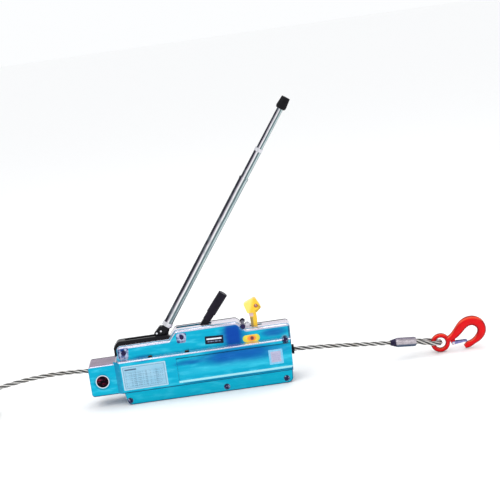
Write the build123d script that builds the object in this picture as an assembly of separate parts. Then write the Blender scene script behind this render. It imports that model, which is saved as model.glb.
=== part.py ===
"""Hand-operated wire-rope puller (come along winch), modelled as its separate pieces.

Millimetres. +X runs from the anchor end towards the hook, +Z is up, and the machine stands on z = 0.
The casing splits at y = 0 into a front half (y < 0) and a rear half (y > 0).
The rope runs through the casing on a line that falls gently towards the hook. The jaws, their side
plates and the springs are drawn about that line, with the rope along x at z = 0, and then placed by LINE.
"""
from build123d import *
import os
from math import cos, hypot, pi, radians, sin, tan

# ---- driving dimensions -------------------------------------------------------------------------
ROPE_R = 5.75                     # wire rope, 11.5 mm across
ROPE_TILT = 2.0                   # degrees that the rope line falls towards the hook
ROPE_Z = 83.5                     # height of the rope line at x = 0

WALL = 4.5                        # casting thickness
LOWER_HALF = 46.0                 # half thickness of the sump zone
MIDDLE_HALF = 50.0                # half thickness of the jaw zone
UPPER_HALF = 31.0                 # half thickness of the crank zone
PANEL_HALF = 47.0                 # half thickness at the floor of the long side panels
PANEL_X = -34.0                   # where the panels start
PAD_HALF = 21.0                   # half width of the raised band along the decks
PAD_STEP = 1.3
GROOVE = 0.9                      # width and depth of the groove along the split
NOSE_HALF = 38.0                  # half thickness of the anchor nose
SUMP_TOP = 33.0
LEDGE_Z = 118.0
DECK_Z = 152.5                    # the two lower decks
MID_DECK_Z = 175.0
LEFT_X = -183.0
RIGHT_X = 266.0
NOSE_X = -262.0
NOSE_LOW = 31.0
NOSE_TOP = 113.5

BOLT_R = 4.0
BOSS_R = 11.0
COUNTERBORE_R = 8.2
SEAT_DEPTH = 5.5                  # depth of a bolt's seat below the casting's face
POCKET_FLOOR = 21.0               # half thickness at the floor of the two open bolt pockets
HEAD_HEIGHT = 4.5
HEAD_ACROSS = 12.0
SCREW_R = 3.2
SCREW_ACROSS = 10.0
THROUGH_BOLTS = [(-166, 133, UPPER_HALF), (147, 161, UPPER_HALF), (249, 114, 41.0),
                 (-166, 12, LOWER_HALF), (85, 13, LOWER_HALF), (240, 13, LOWER_HALF)]
SHORT_BOLT = (-12.5, 153.5)       # a blind screw each side, beside the reversing crank

FORWARD_PIVOT = (-99.0, 110.0)
FORWARD_LEAN = 35.3               # degrees from vertical, towards the hook, at rest
FORWARD_SWING = 67.0
FORWARD_PIN_R = 24.0              # radius of the crank pins about the forward pivot
REVERSE_PIVOT = (-3.5, 110.0)
REVERSE_LEAN = 39.2
REVERSE_SWING = 45.0
STROKE = 2 * FORWARD_PIN_R * sin(radians(FORWARD_SWING / 2))
REVERSE_PIN_R = STROKE / 2 / sin(radians(REVERSE_SWING / 2))
FORWARD_PIN_LEAN = FORWARD_SWING / 2 + ROPE_TILT     # the pins swing evenly about the rope's square
REVERSE_PIN_LEAN = REVERSE_SWING / 2 + ROPE_TILT
PIN_R = 5.0
PIN_BOSS_R = 6.5
PIN_PLAY = 0.45                   # side play of a crank pin in its slot
FORWARD_HUB_R = 14.0
REVERSE_HUB_R = 10.0
TRUNNION_R = 8.0
TRUNNION_END = 30.5
BUSH_R = 10.0
RUNNING = 0.05                    # radial clearance of a shaft in its bush

ARM_HALF = 6.5                    # half thickness of the lever arms
CHEEK_OUT = 12.5
PLATE_IN = 13.0
PLATE_OUT = 17.0

JAW_L = 80.0
JAW_W = 25.0
JAW_H = 13.0
JAW_PIN_Z = -9.5
JAW_PIN_R = 2.5
REAR_JAW_X = -70.0                # where each pair of jaws starts, along the rope line, at rest
FRONT_JAW_X = 75.0

HANDLE_START = 90.0               # distances along the lever from its pivot
HANDLE_STEP_1 = 524.0
HANDLE_STEP_2 = 607.0
HANDLE_CAP = 719.0
HANDLE_END = 750.0
LOWER_TUBE_R = 11.2
MIDDLE_TUBE_R = 9.5
UPPER_TUBE_R = 8.0
TUBE_WALL = 1.6
INNER_WALL = 1.4                  # wall of the two sliding tubes
TUBE_GAP = 0.1
CAP_GRIP = 24.0                   # how far the upper tube reaches into its cap

SLEEVE_START = 96.0
SLEEVE_STEP = 117.0
SLEEVE_END = 178.0
SLEEVE_NECK_R = 10.3
SLEEVE_R = 12.0
TANG_R = 7.0
TANG_END = 136.0

ANCHOR = (-229.0, 70.5)
ANCHOR_R = 10.0
ANCHOR_HEAD_R = 17.5
CLIP_R = 1.9                      # spring wire of the anchor pin's clip
CLIP_Y = 43.0                     # the clip stands in this plane

RELEASE_PIVOT = (176.0, 141.0)
RELEASE_PIN_R = 12.0
SPINDLE_R = 4.0
PADDLE_HOLE = (187.0, 205.0)
PADDLE_HOLE_R = 5.0
CATCH_PIVOT = (159.0, 157.5)
CATCH_PIN_R = 2.0

HOOK_Y = 30.0                     # the hook stands on edge in this plane
HOOK_EYE = (652.0, 25.5)
HOOK_EYE_R = 25.5
HOOK_HOLE_R = 13.5
LATCH_PIVOT = (685.5, 20.5)
LATCH_TIP = (722.0, 22.5)
LATCH_PIN_R = 2.0
FERRULE_A = Vector(536, 25.8, 43.8)
FERRULE_B = Vector(588, HOOK_Y, 38.3)
FERRULE_R = 12.5
FERRULE_NOSE = 15.0               # length of its tapered end, round the rope
LOOP_TIP = Vector(653, HOOK_Y, 27.0)
LOOP_R = 17.0
LOOP_LEAN = 14.0                  # degrees between a leg of the rope's eye and its middle line
THIMBLE_GAP = 0.9

HANK_RIGHT = -520.0               # the spare rope, folded into a flat hank: its end nearest the machine
HANK_RUN = 228.0                  # its straight sides
HANK_OUT = 82.5                   # half width over the outermost turns, and radius of its ends
HANK_IN = 34.0                    # half width of the gap in its middle
HANK_TOP = 37.5
TIE_WIDTH = 7.6                   # nylon ties round the bundle of turns
TIE_THICK = 1.5
TIE_LOW = 0.3
TIE_HEAD = (9.0, 12.0, 5.5)       # lock of a tie, along the rope, across it and upwards
LOCK_Y = 60.0
TIP_LENGTH = 46.0                 # fused and tapered end of the rope
TIP_TAPER = 22.0
TIP_END_R = 3.5
TIP_START = 36.0                  # how far past the hank's straight side it starts

LINE = Location((0, 0, ROPE_Z), (0, ROPE_TILT, 0))


def on_line(x, z=0.0, y=0.0):
    """A point given along and above the rope line, as a point of the machine."""
    t = radians(ROPE_TILT)
    return Vector(x * cos(t) + z * sin(t), y, ROPE_Z - x * sin(t) + z * cos(t))


def off_line(x, z):
    """The other way round: a point of the machine, seen from the rope line."""
    t = radians(ROPE_TILT)
    return (x * cos(t) - (z - ROPE_Z) * sin(t), x * sin(t) + (z - ROPE_Z) * cos(t))


# ---- shape helpers ------------------------------------------------------------------------------
def face_xz(points, y=0.0):
    """A flat face in the plane of the machine; a third number at a corner is its radius."""
    face = Face(Wire.make_polygon([(p[0], y, p[1]) for p in points], close=True))
    for p in points:
        if len(p) == 3:
            corner = min(face.vertices(), key=lambda v: hypot(v.X - p[0], v.Z - p[1]))
            face = face.fillet_2d(p[2], [corner])
    return face


def slab(points, y_low, y_high):
    """A plate of that outline between two values of y."""
    return Solid.extrude(face_xz(points, y_low), Vector(0, y_high - y_low, 0))


def rod(start, end, radius):
    """A round bar from one point to another."""
    start = Vector(*start)
    along = Vector(*end) - start
    return Solid.make_cylinder(radius, along.length, Plane(origin=start, z_dir=along))


def cone(start, end, radius_a, radius_b):
    """A tapered bar from one point to another."""
    start = Vector(*start)
    along = Vector(*end) - start
    return Solid.make_cone(radius_a, radius_b, along.length, Plane(origin=start, z_dir=along))


def tube(start, end, outer, inner):
    """A bar with a bore right through."""
    return rod(start, end, outer) - rod(start, end, inner)


def cross_pin(x, z, radius, y_low, y_high):
    """A round bar across the machine."""
    return rod((x, y_low, z), (x, y_high, z), radius)


def block(x0, x1, y0, y1, z0, z1):
    """A plain box between two corners."""
    return Solid.make_box(x1 - x0, y1 - y0, z1 - z0, Plane(origin=(x0, y0, z0)))


def ease_faces(solid, half, radius):
    """Round the outline edges of a slab on its front and rear faces."""
    rim = [e for e in solid.edges()
           if abs(abs(e.center().Y) - half) < 0.01 and e.bounding_box().size.Y < 0.01]
    return solid.fillet(radius, rim)


def group(solids):
    """Separate solids kept as one piece of the list."""
    return Compound(children=list(solids))


def both_sides(front):
    """The front piece and its mirror image behind the split."""
    return [front, mirror(front, about=Plane.XZ)]


def fuse(first, *others):
    """One solid from several that touch or overlap."""
    shape = first
    for other in others:
        shape = shape + other
    return shape


def along_lever(pivot, lean, distance, aside=0.0):
    """A point on a lever, by its distance from the pivot and its distance to the hook side."""
    a = radians(lean)
    return (pivot[0] + distance * sin(a) + aside * cos(a), pivot[1] + distance * cos(a) - aside * sin(a))


def bar_outline(a, b, width_a, width_b):
    """Corners of a tapered flat bar between two points."""
    length = hypot(b[0] - a[0], b[1] - a[1])
    nx, nz = -(b[1] - a[1]) / length, (b[0] - a[0]) / length
    return [(a[0] + nx * width_a, a[1] + nz * width_a), (b[0] + nx * width_b, b[1] + nz * width_b),
            (b[0] - nx * width_b, b[1] - nz * width_b), (a[0] - nx * width_a, a[1] - nz * width_a)]


# ---- casing -------------------------------------------------------------------------------------
SUMP = [(-171, 0, 12), (256, 0, 15), (260, 60), (-183, 60)]
MIDDLE = [(-195, SUMP_TOP), (259.5, SUMP_TOP), (264, LEDGE_Z), (-195, LEDGE_Z)]
NOSE = [(NOSE_X, NOSE_LOW, 8), (-170, NOSE_LOW), (-170, NOSE_TOP), (NOSE_X, NOSE_TOP, 8)]
UPPER = [(-191, 100), (-191, 112), (LEFT_X, 130, 8), (LEFT_X, DECK_Z, 12), (-46, DECK_Z, 5),
         (-27, MID_DECK_Z, 10), (131, MID_DECK_Z, 14), (154, DECK_Z, 5), (RIGHT_X, DECK_Z, 10),
         (264, 100)]
SUMP_IN = [(-166, WALL, 8), (251, WALL, 10), (255.5, 60), (-178, 60)]
MIDDLE_IN = [(-188, SUMP_TOP + 5), (255, SUMP_TOP + 5), (259, LEDGE_Z - WALL), (-188, LEDGE_Z - WALL)]
UPPER_IN = [(-178, 100), (-178, DECK_Z - WALL, 7), (-43, DECK_Z - WALL, 5), (-24, MID_DECK_Z - WALL, 6),
            (129, MID_DECK_Z - WALL, 9), (152, DECK_Z - WALL, 5), (261, DECK_Z - WALL, 6), (259, 100)]


def trim_middle(solid, inset):
    """Chamfer the upright corners of the jaw zone where it narrows to the nose."""
    half = MIDDLE_HALF - inset
    for side in (-1, 1):
        wedge = [(-200, side * 37), (-194 + inset / 2, side * (37 - inset / 2)),
                 (-178 + inset / 2, side * (half + 1)), (-200, side * (half + 1))]
        face = Face(Wire.make_polygon([(x, y, 0) for x, y in wedge], close=True))
        solid = solid - Solid.extrude(face, Vector(0, 0, 200))
    return solid


def casing_outside():
    sump = ease_faces(slab(SUMP, -LOWER_HALF, LOWER_HALF), LOWER_HALF, 4)
    middle = trim_middle(ease_faces(slab(MIDDLE, -MIDDLE_HALF, MIDDLE_HALF), MIDDLE_HALF, 5), 0)
    nose = ease_faces(slab(NOSE, -NOSE_HALF, NOSE_HALF), NOSE_HALF, 5)
    lowered = offset(face_xz(UPPER, -UPPER_HALF), amount=-PAD_STEP, kind=Kind.INTERSECTION).face()
    upper = ease_faces(Solid.extrude(lowered, Vector(0, 2 * UPPER_HALF, 0)), UPPER_HALF, 7.5)
    pad = ease_faces(slab(UPPER, -PAD_HALF, PAD_HALF), PAD_HALF, 1.0)
    return fuse(middle, sump, nose, upper, pad)


def casing_inside():
    sump = slab(SUMP_IN, WALL - LOWER_HALF, LOWER_HALF - WALL)
    middle = trim_middle(slab(MIDDLE_IN, WALL - MIDDLE_HALF, MIDDLE_HALF - WALL), WALL)
    upper = slab(UPPER_IN, WALL - UPPER_HALF, UPPER_HALF - WALL)
    return fuse(middle, sump, upper)


POCKETS = [((-179, 118.5), (-151, 148)), ((-26, 141), (1, 167))]     # low and high corner of each


def casing_ribs():
    """Bosses for the bolts and trunnions, and the blocks behind the two open bolt pockets."""
    ribs = [cross_pin(x, z, BOSS_R, -half + 1, half - 1) for x, z, half in THROUGH_BOLTS]
    for side in (-1, 1):
        for x, z in (FORWARD_PIVOT, REVERSE_PIVOT):
            ribs.append(cross_pin(x, z, BUSH_R + 4, side * 18.5, side * 46))
        for low, high in POCKETS:
            y_low, y_high = sorted((side * 18.0, side * 29.0))
            ribs.append(block(low[0] - 3, high[0] + 3, y_low, y_high, low[1] - 3, high[1] + 3))
    return ribs


def pocket_cut(low, high, side):
    """The open pocket around a bolt head, its hook-side wall leaning."""
    points = [(low[0], low[1], 5), (high[0] - 4, low[1], 5), (high[0], high[1], 5), (low[0], high[1], 7)]
    return slab(points, *sorted((side * POCKET_FLOOR, side * (UPPER_HALF + 1))))


def casing_holes():
    """Everything cut through the casting."""
    cuts = [cross_pin(x, z, BOLT_R + 0.2, -60, 60) for x, z, half in THROUGH_BOLTS]
    for x, z, half in THROUGH_BOLTS:
        for side in (-1, 1):
            cuts.append(cross_pin(x, z, COUNTERBORE_R, side * (half - SEAT_DEPTH), side * (half + 12)))
    for side in (-1, 1):
        cuts.append(cross_pin(*SHORT_BOLT, SCREW_R, side * 17.0, side * 40))
        for low, high in POCKETS:
            cuts.append(pocket_cut(low, high, side))
    for x, z in (FORWARD_PIVOT, REVERSE_PIVOT):
        cuts.append(cross_pin(x, z, BUSH_R, -43, 43))
    cuts.append(block(-158, -46.5, -7.5, 7.5, 140, 170))
    cuts.append(block(-23.5, 67.5, -7.5, 7.5, 160, 185))
    cuts.append(block(163.5, 195.5, -5.5, 5.5, 140, 160))
    cuts.append(rod(on_line(-300), on_line(-150), ROPE_R + 1.3))
    cuts.append(rod(on_line(-300), on_line(-250), 9.0))
    cuts.append(rod(on_line(235), on_line(300), 10.5))
    cuts.append(block(NOSE_X - 1, -205, -16, 16, 40, 81))
    cuts.append(cross_pin(*ANCHOR, ANCHOR_R + RUNNING, -50, 50))
    cuts.append(cross_pin(*ANCHOR, 22, -50, -NOSE_HALF + 2.5))
    cuts.append(cross_pin(*RELEASE_PIVOT, SPINDLE_R + RUNNING, -29.0, 29.0))
    return cuts


def panel_cut(side):
    """The shallow panel along each side of the jaw zone, with sloping walls above and below."""
    face = side * MIDDLE_HALF
    deep = side * PANEL_HALF
    corners = [(face + side, 38.5), (deep, 46.0), (deep, 104.5), (face + side, 109.5)]
    profile = Face(Wire.make_polygon([(PANEL_X, y, z) for y, z in corners], close=True))
    return Solid.extrude(profile, Vector(320, 0, 0))


def casing_halves():
    """The two mirrored castings."""
    body = casing_outside() - casing_inside()
    keep = casing_outside()
    for rib in casing_ribs():
        body = body + (rib & keep)
    for cut in casing_holes():
        body = body - cut
    for side in (-1, 1):
        body = body - panel_cut(side)
    body = body - joint_groove()
    front = body & block(-400, 400, -100, 0, -50, 300)
    rear = body & block(-400, 400, 0, 100, -50, 300)
    return front, rear


def joint_groove():
    """Fine groove along the decks where the two halves meet."""
    inner = offset(face_xz(UPPER, -GROOVE), amount=-GROOVE, kind=Kind.INTERSECTION).face()
    outer = offset(face_xz(UPPER, -GROOVE / 2), amount=3.0, kind=Kind.INTERSECTION).face()
    band = Solid.extrude(outer, Vector(0, GROOVE, 0)) - Solid.extrude(inner, Vector(0, 2 * GROOVE, 0))
    return band - block(-400, 400, -5, 5, -50, LEDGE_Z + 1)


def hex_prism(x, z, across, y_low, y_high, turn=0.0):
    """A hexagon across the machine, by its size across flats."""
    radius = across / 3 ** 0.5
    corners = [(x + radius * cos(radians(60 * i + turn)), z + radius * sin(radians(60 * i + turn)))
               for i in range(6)]
    return slab(corners, y_low, y_high)


def bolt_seat(bolt):
    """Distance of a through bolt's seats from the split; the first one stands in an open pocket."""
    return POCKET_FLOOR if bolt is THROUGH_BOLTS[0] else bolt[2] - SEAT_DEPTH


def casing_bolts():
    """Hexagon bolts from the front, with a short screw each side at the reversing crank."""
    bolts = []
    for i, bolt in enumerate(THROUGH_BOLTS):
        seat = bolt_seat(bolt)
        head = hex_prism(*bolt[:2], HEAD_ACROSS, -seat - HEAD_HEIGHT, -seat, 11 * i)
        bolts.append(head + cross_pin(*bolt[:2], BOLT_R, -seat, seat))
    for side in (-1, 1):
        head = hex_prism(*SHORT_BOLT, SCREW_ACROSS,
                         *sorted((side * POCKET_FLOOR, side * (POCKET_FLOOR + HEAD_HEIGHT))), 20)
        bolts.append(head + cross_pin(*SHORT_BOLT, SCREW_R, *sorted((side * 18.2, side * POCKET_FLOOR))))
    return group(bolts)


def casing_nuts():
    """Hexagon nuts on the rear side, closed at their outer ends."""
    nuts = []
    for i, bolt in enumerate(THROUGH_BOLTS):
        seat = bolt_seat(bolt)
        nuts.append(hex_prism(*bolt[:2], HEAD_ACROSS, seat, seat + HEAD_HEIGHT, 17 * i))
    return group(nuts)


def lever_shroud():
    """Moulded lip round the slot of the operating lever, turned down over the left wall."""
    top = slab([(-190, 121, 2), (-181, 130), (-181, DECK_Z - 10), (-172, DECK_Z), (-46, DECK_Z),
                (-46, DECK_Z + 10, 3), (-178, DECK_Z + 10, 12), (-190, 148, 8)], -13, 13)
    under = [(-181.9, 100), (-181.9, DECK_Z - 5), (-170, DECK_Z), (-100, DECK_Z), (-100, 100)]
    top = top - slab(under, -13, 13)
    shroud = top - block(-159, -40, -7.2, 7.2, 140, 170)
    return shroud - casing_outside()


def rope_guide(x0, x1, flange_x, flange_r, body_r):
    """A bush that the rope runs through, with an outer flange."""
    guide = rod(on_line(x0), on_line(x1), body_r) + rod(on_line(x1), on_line(flange_x), flange_r)
    return guide - rod(on_line(min(x0, flange_x) - 5), on_line(max(x0, flange_x) + 5), ROPE_R + 0.4)


def crank_bushes():
    """Four bearing bushes, pressed into the casing for the crank trunnions."""
    bushes = []
    for x, z in (FORWARD_PIVOT, REVERSE_PIVOT):
        for side in (-1, 1):
            low, high = sorted((side * 19.0, side * 31.0))
            bushes.append(cross_pin(x, z, BUSH_R, low, high)
                          - cross_pin(x, z, TRUNNION_R + RUNNING, low - 1, high + 1))
    return group(bushes)


def plate(x0, x1, z0, z1, face, thick, corner, turn=0.0):
    """A thin label on the front of the machine."""
    corners = [(x0, z0, corner), (x1, z0, corner), (x1, z1, corner), (x0, z1, corner)]
    solid = slab(corners, face - thick, face)
    centre = ((x0 + x1) / 2, 0, (z0 + z1) / 2)
    return Location(centre) * Location((0, 0, 0), (0, turn, 0)) * Location(tuple(-c for c in centre)) * solid


# ---- cranks and levers --------------------------------------------------------------------------
def cheek_pair(pivot, lean, pins, hub_r):
    """The two cheeks of a crank, each with its trunnion and its stub pins, one piece each."""
    cheek = cross_pin(*pivot, hub_r, -CHEEK_OUT, -ARM_HALF)
    cheek = cheek + cross_pin(*pivot, TRUNNION_R, -TRUNNION_END, -CHEEK_OUT)
    for distance in pins:
        centre = along_lever(pivot, lean, distance)
        cheek = cheek + slab(bar_outline(pivot, centre, hub_r * 0.7, PIN_BOSS_R), -CHEEK_OUT, -ARM_HALF)
        cheek = cheek + cross_pin(*centre, PIN_BOSS_R, -CHEEK_OUT, -ARM_HALF)
        cheek = cheek + cross_pin(*centre, PIN_R, -PLATE_OUT, -CHEEK_OUT)
    return group(both_sides(cheek))


def forward_crank():
    """It drives the front plates from above its pivot and the rear plates from below."""
    return cheek_pair(FORWARD_PIVOT, FORWARD_PIN_LEAN, (FORWARD_PIN_R, -FORWARD_PIN_R), FORWARD_HUB_R)


def reverse_crank():
    return cheek_pair(REVERSE_PIVOT, REVERSE_PIN_LEAN, (REVERSE_PIN_R,), REVERSE_HUB_R)


def forward_arm():
    """Flat arm from the crank, up through the slot, with its ear and the spigot of the handle."""
    end = along_lever(FORWARD_PIVOT, FORWARD_LEAN, 78)
    arm = cross_pin(*FORWARD_PIVOT, FORWARD_HUB_R, -ARM_HALF, ARM_HALF)
    arm = arm + slab(bar_outline(FORWARD_PIVOT, end, 13, 12), -ARM_HALF, ARM_HALF)
    ear = [(-86, 164.5, 3), (-48, 164.5), (-40, 172, 3), (-55, 182, 3), (-64, 187.5, 6.5)]
    arm = arm + slab(ear, -ARM_HALF, ARM_HALF)
    neck = rod(on_handle(70), on_handle(HANDLE_START), 10.5)
    arm = arm + (neck & block(-90, 0, -30, 30, DECK_Z + 12, 300))
    arm = arm + rod(on_handle(HANDLE_START - 4), on_handle(150), LOWER_TUBE_R - TUBE_WALL - TUBE_GAP)
    for x, z in SHEAR_PINS:
        arm = arm - cross_pin(x, z, 2.5, -10, 10)
    return arm


SHEAR_PINS = [(-63.5, 172.5), (-75.0, 168.5)]


def shear_pins():
    return group([cross_pin(x, z, 2.5, -ARM_HALF - 0.4, ARM_HALF + 0.4) for x, z in SHEAR_PINS])


def on_handle(distance):
    """A point on the middle line of the operating lever."""
    x, z = along_lever(FORWARD_PIVOT, FORWARD_LEAN, distance)
    return (x, 0.0, z)


def handle_tube(start, end, outer, inner):
    return tube(on_handle(start), on_handle(end), outer, inner)


def handle_lower():
    return handle_tube(HANDLE_START, HANDLE_STEP_1, LOWER_TUBE_R, LOWER_TUBE_R - TUBE_WALL)


def handle_middle():
    return handle_tube(165, HANDLE_STEP_2, MIDDLE_TUBE_R, MIDDLE_TUBE_R - INNER_WALL)


def handle_upper():
    return handle_tube(190, HANDLE_CAP + CAP_GRIP, UPPER_TUBE_R, UPPER_TUBE_R - INNER_WALL)


def handle_collar():
    """Steel ring that stiffens the mouth of the handle."""
    return handle_tube(HANDLE_START, HANDLE_START + 11, LOWER_TUBE_R + 2.2, LOWER_TUBE_R)


def lower_ring():
    """Ferrule at the end of the lower tube."""
    return handle_tube(HANDLE_STEP_1 - 6, HANDLE_STEP_1, LOWER_TUBE_R + 0.8, LOWER_TUBE_R)


def middle_ring():
    return handle_tube(HANDLE_STEP_2 - 9, HANDLE_STEP_2, MIDDLE_TUBE_R + 1.2, MIDDLE_TUBE_R)


def handle_cap():
    """Flared rubber cap over the end of the upper tube."""
    mouth = HANDLE_CAP + 5
    cap = fuse(cone(on_handle(HANDLE_CAP), on_handle(mouth), 11.5, 13.5),
               cone(on_handle(mouth), on_handle(HANDLE_END), 13.5, 11.0))
    return cap - rod(on_handle(HANDLE_CAP - 1), on_handle(HANDLE_CAP + CAP_GRIP), UPPER_TUBE_R)


def on_reverse(distance):
    """A point on the middle line of the reversing lever."""
    x, z = along_lever(REVERSE_PIVOT, REVERSE_LEAN, distance)
    return (x, 0.0, z)


def reverse_blade():
    """The flat part of the reversing arm, which reaches a little into the sleeve."""
    end = along_lever(REVERSE_PIVOT, REVERSE_LEAN, SLEEVE_START + 2)
    return slab(bar_outline(REVERSE_PIVOT, end, 9, 9), -ARM_HALF, ARM_HALF)


def reverse_arm():
    """Flat arm of the reversing crank, with the round tang that its sleeve grips."""
    return fuse(cross_pin(*REVERSE_PIVOT, REVERSE_HUB_R, -ARM_HALF, ARM_HALF), reverse_blade(),
                rod(on_reverse(SLEEVE_START), on_reverse(TANG_END), TANG_R))


def reverse_sleeve():
    """Black sleeve on the reversing arm, stepped, that the handle is pushed onto."""
    body = rod(on_reverse(SLEEVE_START), on_reverse(SLEEVE_STEP), SLEEVE_NECK_R)
    body = body + rod(on_reverse(SLEEVE_STEP), on_reverse(SLEEVE_END), SLEEVE_R)
    rim = [e for e in body.edges().filter_by(GeomType.CIRCLE)
           if (e.arc_center - Vector(*on_reverse(SLEEVE_END))).length < 1]
    body = body.fillet(1.5, rim)
    return body - reverse_blade() - rod(on_reverse(SLEEVE_START - 1), on_reverse(TANG_END), TANG_R)


# ---- jaws and their side plates, about the rope line --------------------------------------------
def pin_slot(pivot, radius, lean, low_z, high_z):
    """The upright slot that lets a crank pin rise and fall as it drives a plate."""
    x, z = off_line(*along_lever(pivot, lean, radius))
    half = PIN_R + PIN_PLAY
    low = low_z - half - 0.4
    high = high_z + half + 0.4
    corner = half - 0.1
    return slab([(x - half, low, corner), (x + half, low, corner), (x + half, high, corner),
                 (x - half, high, corner)], -20, 20)


def pin_span(pivot, radius, swing):
    """Lowest and highest height of a crank pin over its swing, about the rope line."""
    centre = off_line(*pivot)[1]
    edge = centre + radius * cos(radians(swing / 2))
    return sorted((edge, centre + radius))


def rear_plates():
    low, high = pin_span(FORWARD_PIVOT, -FORWARD_PIN_R, FORWARD_SWING)
    slot = pin_slot(FORWARD_PIVOT, -FORWARD_PIN_R, FORWARD_PIN_LEAN, low, high)
    side = slab([(-128, -11, 8), (12, -14, 4), (12, 13, 4), (-128, 13.5, 8)], -PLATE_OUT, -PLATE_IN)
    side = side - slot
    for x in jaw_pin_places(REAR_JAW_X):
        side = side - cross_pin(x, JAW_PIN_Z, JAW_PIN_R, -20, 20)
    return group(LINE * s for s in both_sides(side))


def front_plates():
    low, high = pin_span(FORWARD_PIVOT, FORWARD_PIN_R, FORWARD_SWING)
    r_low, r_high = pin_span(REVERSE_PIVOT, REVERSE_PIN_R, REVERSE_SWING)
    outline = [(-101, 36, 5), (73, 36, 4), (73, -14, 4), (172, -14, 6), (172, 30, 8), (110, 56, 8),
               (24, 56, 3), (22, 72, 5), (-4, 72, 5), (-6, 58, 3), (-101, 58, 6)]
    side = slab(outline, -PLATE_OUT, -PLATE_IN)
    side = side - pin_slot(FORWARD_PIVOT, FORWARD_PIN_R, FORWARD_PIN_LEAN, low, high)
    side = side - pin_slot(REVERSE_PIVOT, REVERSE_PIN_R, REVERSE_PIN_LEAN, r_low, r_high)
    for x in jaw_pin_places(FRONT_JAW_X):
        side = side - cross_pin(x, JAW_PIN_Z, JAW_PIN_R, -20, 20)
    return group(LINE * s for s in both_sides(side))


def jaw_pin_places(start):
    return [start + 14, start + JAW_L - 14]


def jaw(start, upper):
    """Half of a pair of jaws: a block with a rope groove and clipped corners."""
    low, high = (0.15, JAW_H) if upper else (-JAW_H, -0.15)
    outer = JAW_H if upper else -JAW_H
    inner = 0.15 if upper else -0.15
    cut = 4 if upper else -4
    end = start + JAW_L
    outline = [(start, inner), (end, inner), (end, outer - cut), (end - 6, outer), (start + 6, outer),
               (start, outer - cut)]
    body = slab(outline, -JAW_W / 2, JAW_W / 2)
    body = body - rod((start - 1, 0, 0), (start + JAW_L + 1, 0, 0), ROPE_R + 0.15)
    if not upper:
        for x in jaw_pin_places(start):
            body = body - cross_pin(x, JAW_PIN_Z, JAW_PIN_R, -20, 20)
    return LINE * body


def jaw_pins(start):
    """Two pins that fix a lower jaw between its side plates."""
    return group(LINE * cross_pin(x, JAW_PIN_Z, JAW_PIN_R, -PLATE_OUT, PLATE_OUT)
                 for x in jaw_pin_places(start))


def return_spring(x0, x1):
    """Compression spring under the jaws, on the rope line's slope."""
    path = Helix(pitch=5.0, height=x1 - x0, radius=4.5)
    section = Plane(origin=path @ 0, z_dir=path % 0) * RegularPolygon(0.95, 8)
    coil = sweep(section, path=path, is_frenet=True)
    place = Location((x0, 0, -22), (0, 90, 0))
    return LINE * (place * coil)


# ---- release gear -------------------------------------------------------------------------------
ROD_Y = (19.5, 23.5)
ROD_Z = (126.0, 134.0)


def release_rod():
    """Flat bar that carries the release lever's push to both pairs of jaws."""
    x, z = RELEASE_PIVOT[0], RELEASE_PIVOT[1] - RELEASE_PIN_R
    bar = block(-110, x - 8, ROD_Y[0], ROD_Y[1], ROD_Z[0], ROD_Z[1])
    head = slab([(x - 10, z - 8, 3), (x + 9, z - 8, 3), (x + 9, ROD_Z[1]), (x - 10, ROD_Z[1])], *ROD_Y)
    slot = slab([(x - 3.4, z - 3.4), (x + 3.4, z - 3.4), (x + 3.4, z + 7), (x - 3.4, z + 7)], 19, 24)
    return bar + head - slot


def release_spindle():
    """Cross shaft of the release lever, with the small crank that moves the rod."""
    x, z = RELEASE_PIVOT
    shaft = cross_pin(x, z, SPINDLE_R, -28.8, 28.8)
    web = slab(bar_outline((x, z), (x, z - RELEASE_PIN_R), 5, 4), 14.5, 18.5)
    web = web + cross_pin(x, z, 6.5, 14.5, 18.5) + cross_pin(x, z - RELEASE_PIN_R, 4, 14.5, 18.5)
    pin = cross_pin(x, z - RELEASE_PIN_R, 3.0, 18.5, 23.5)
    return shaft + web + pin


def release_lever():
    """Thumb lever: a narrow neck and a slanted paddle with a hole."""
    x, z = RELEASE_PIVOT
    neck = slab([(x - 7, z - 6, 3), (x + 7, z - 6, 3), (x + 10, 172, 3), (185, 189), (166, 189),
                 (x - 8, 172, 3)], -5, 5)
    paddle = slab([(163, 187, 4), (155.5, 213, 5), (187, 227, 6), (200.5, 199, 5), (187, 187, 3)], -8, 8)
    solid = fuse(neck, paddle) - cross_pin(*PADDLE_HOLE, PADDLE_HOLE_R, -20, 20)
    return solid - cross_pin(x, z, SPINDLE_R, -20, 20)


def release_insert():
    """Orange bush in the hole of the paddle."""
    return cross_pin(*PADDLE_HOLE, PADDLE_HOLE_R, -8.6, 8.6) - cross_pin(*PADDLE_HOLE, 2.8, -20, 20)


def safety_catch():
    """Sprung steel catch in front of the release lever."""
    x, z = CATCH_PIVOT
    arm = slab([(x - 4, z - 1.0, 2), (167, 155.0, 1.2), (167, 158.5, 1.2), (x + 1, z + 7, 3),
                (x - 5, z + 5, 2)], -4, 4)
    return arm - cross_pin(x, z + 2, CATCH_PIN_R + RUNNING, -20, 20)


def catch_bracket():
    """Two small ears and a pin that carry the catch on the slope of the deck."""
    x, z = CATCH_PIVOT
    ears = []
    for low, high in ((-7.5, -4.6), (4.6, 7.5)):
        ears.append(slab([(x - 9, 150), (x + 8, 150), (x + 3, z + 5, 3), (x - 4, z + 6, 3)], low, high))
    ears = [e - casing_outside() for e in ears]
    return group([e - cross_pin(x, z + 2, CATCH_PIN_R, -20, 20) for e in ears])


def catch_pin():
    x, z = CATCH_PIVOT
    return cross_pin(x, z + 2, CATCH_PIN_R, -8.5, 8.5)


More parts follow.
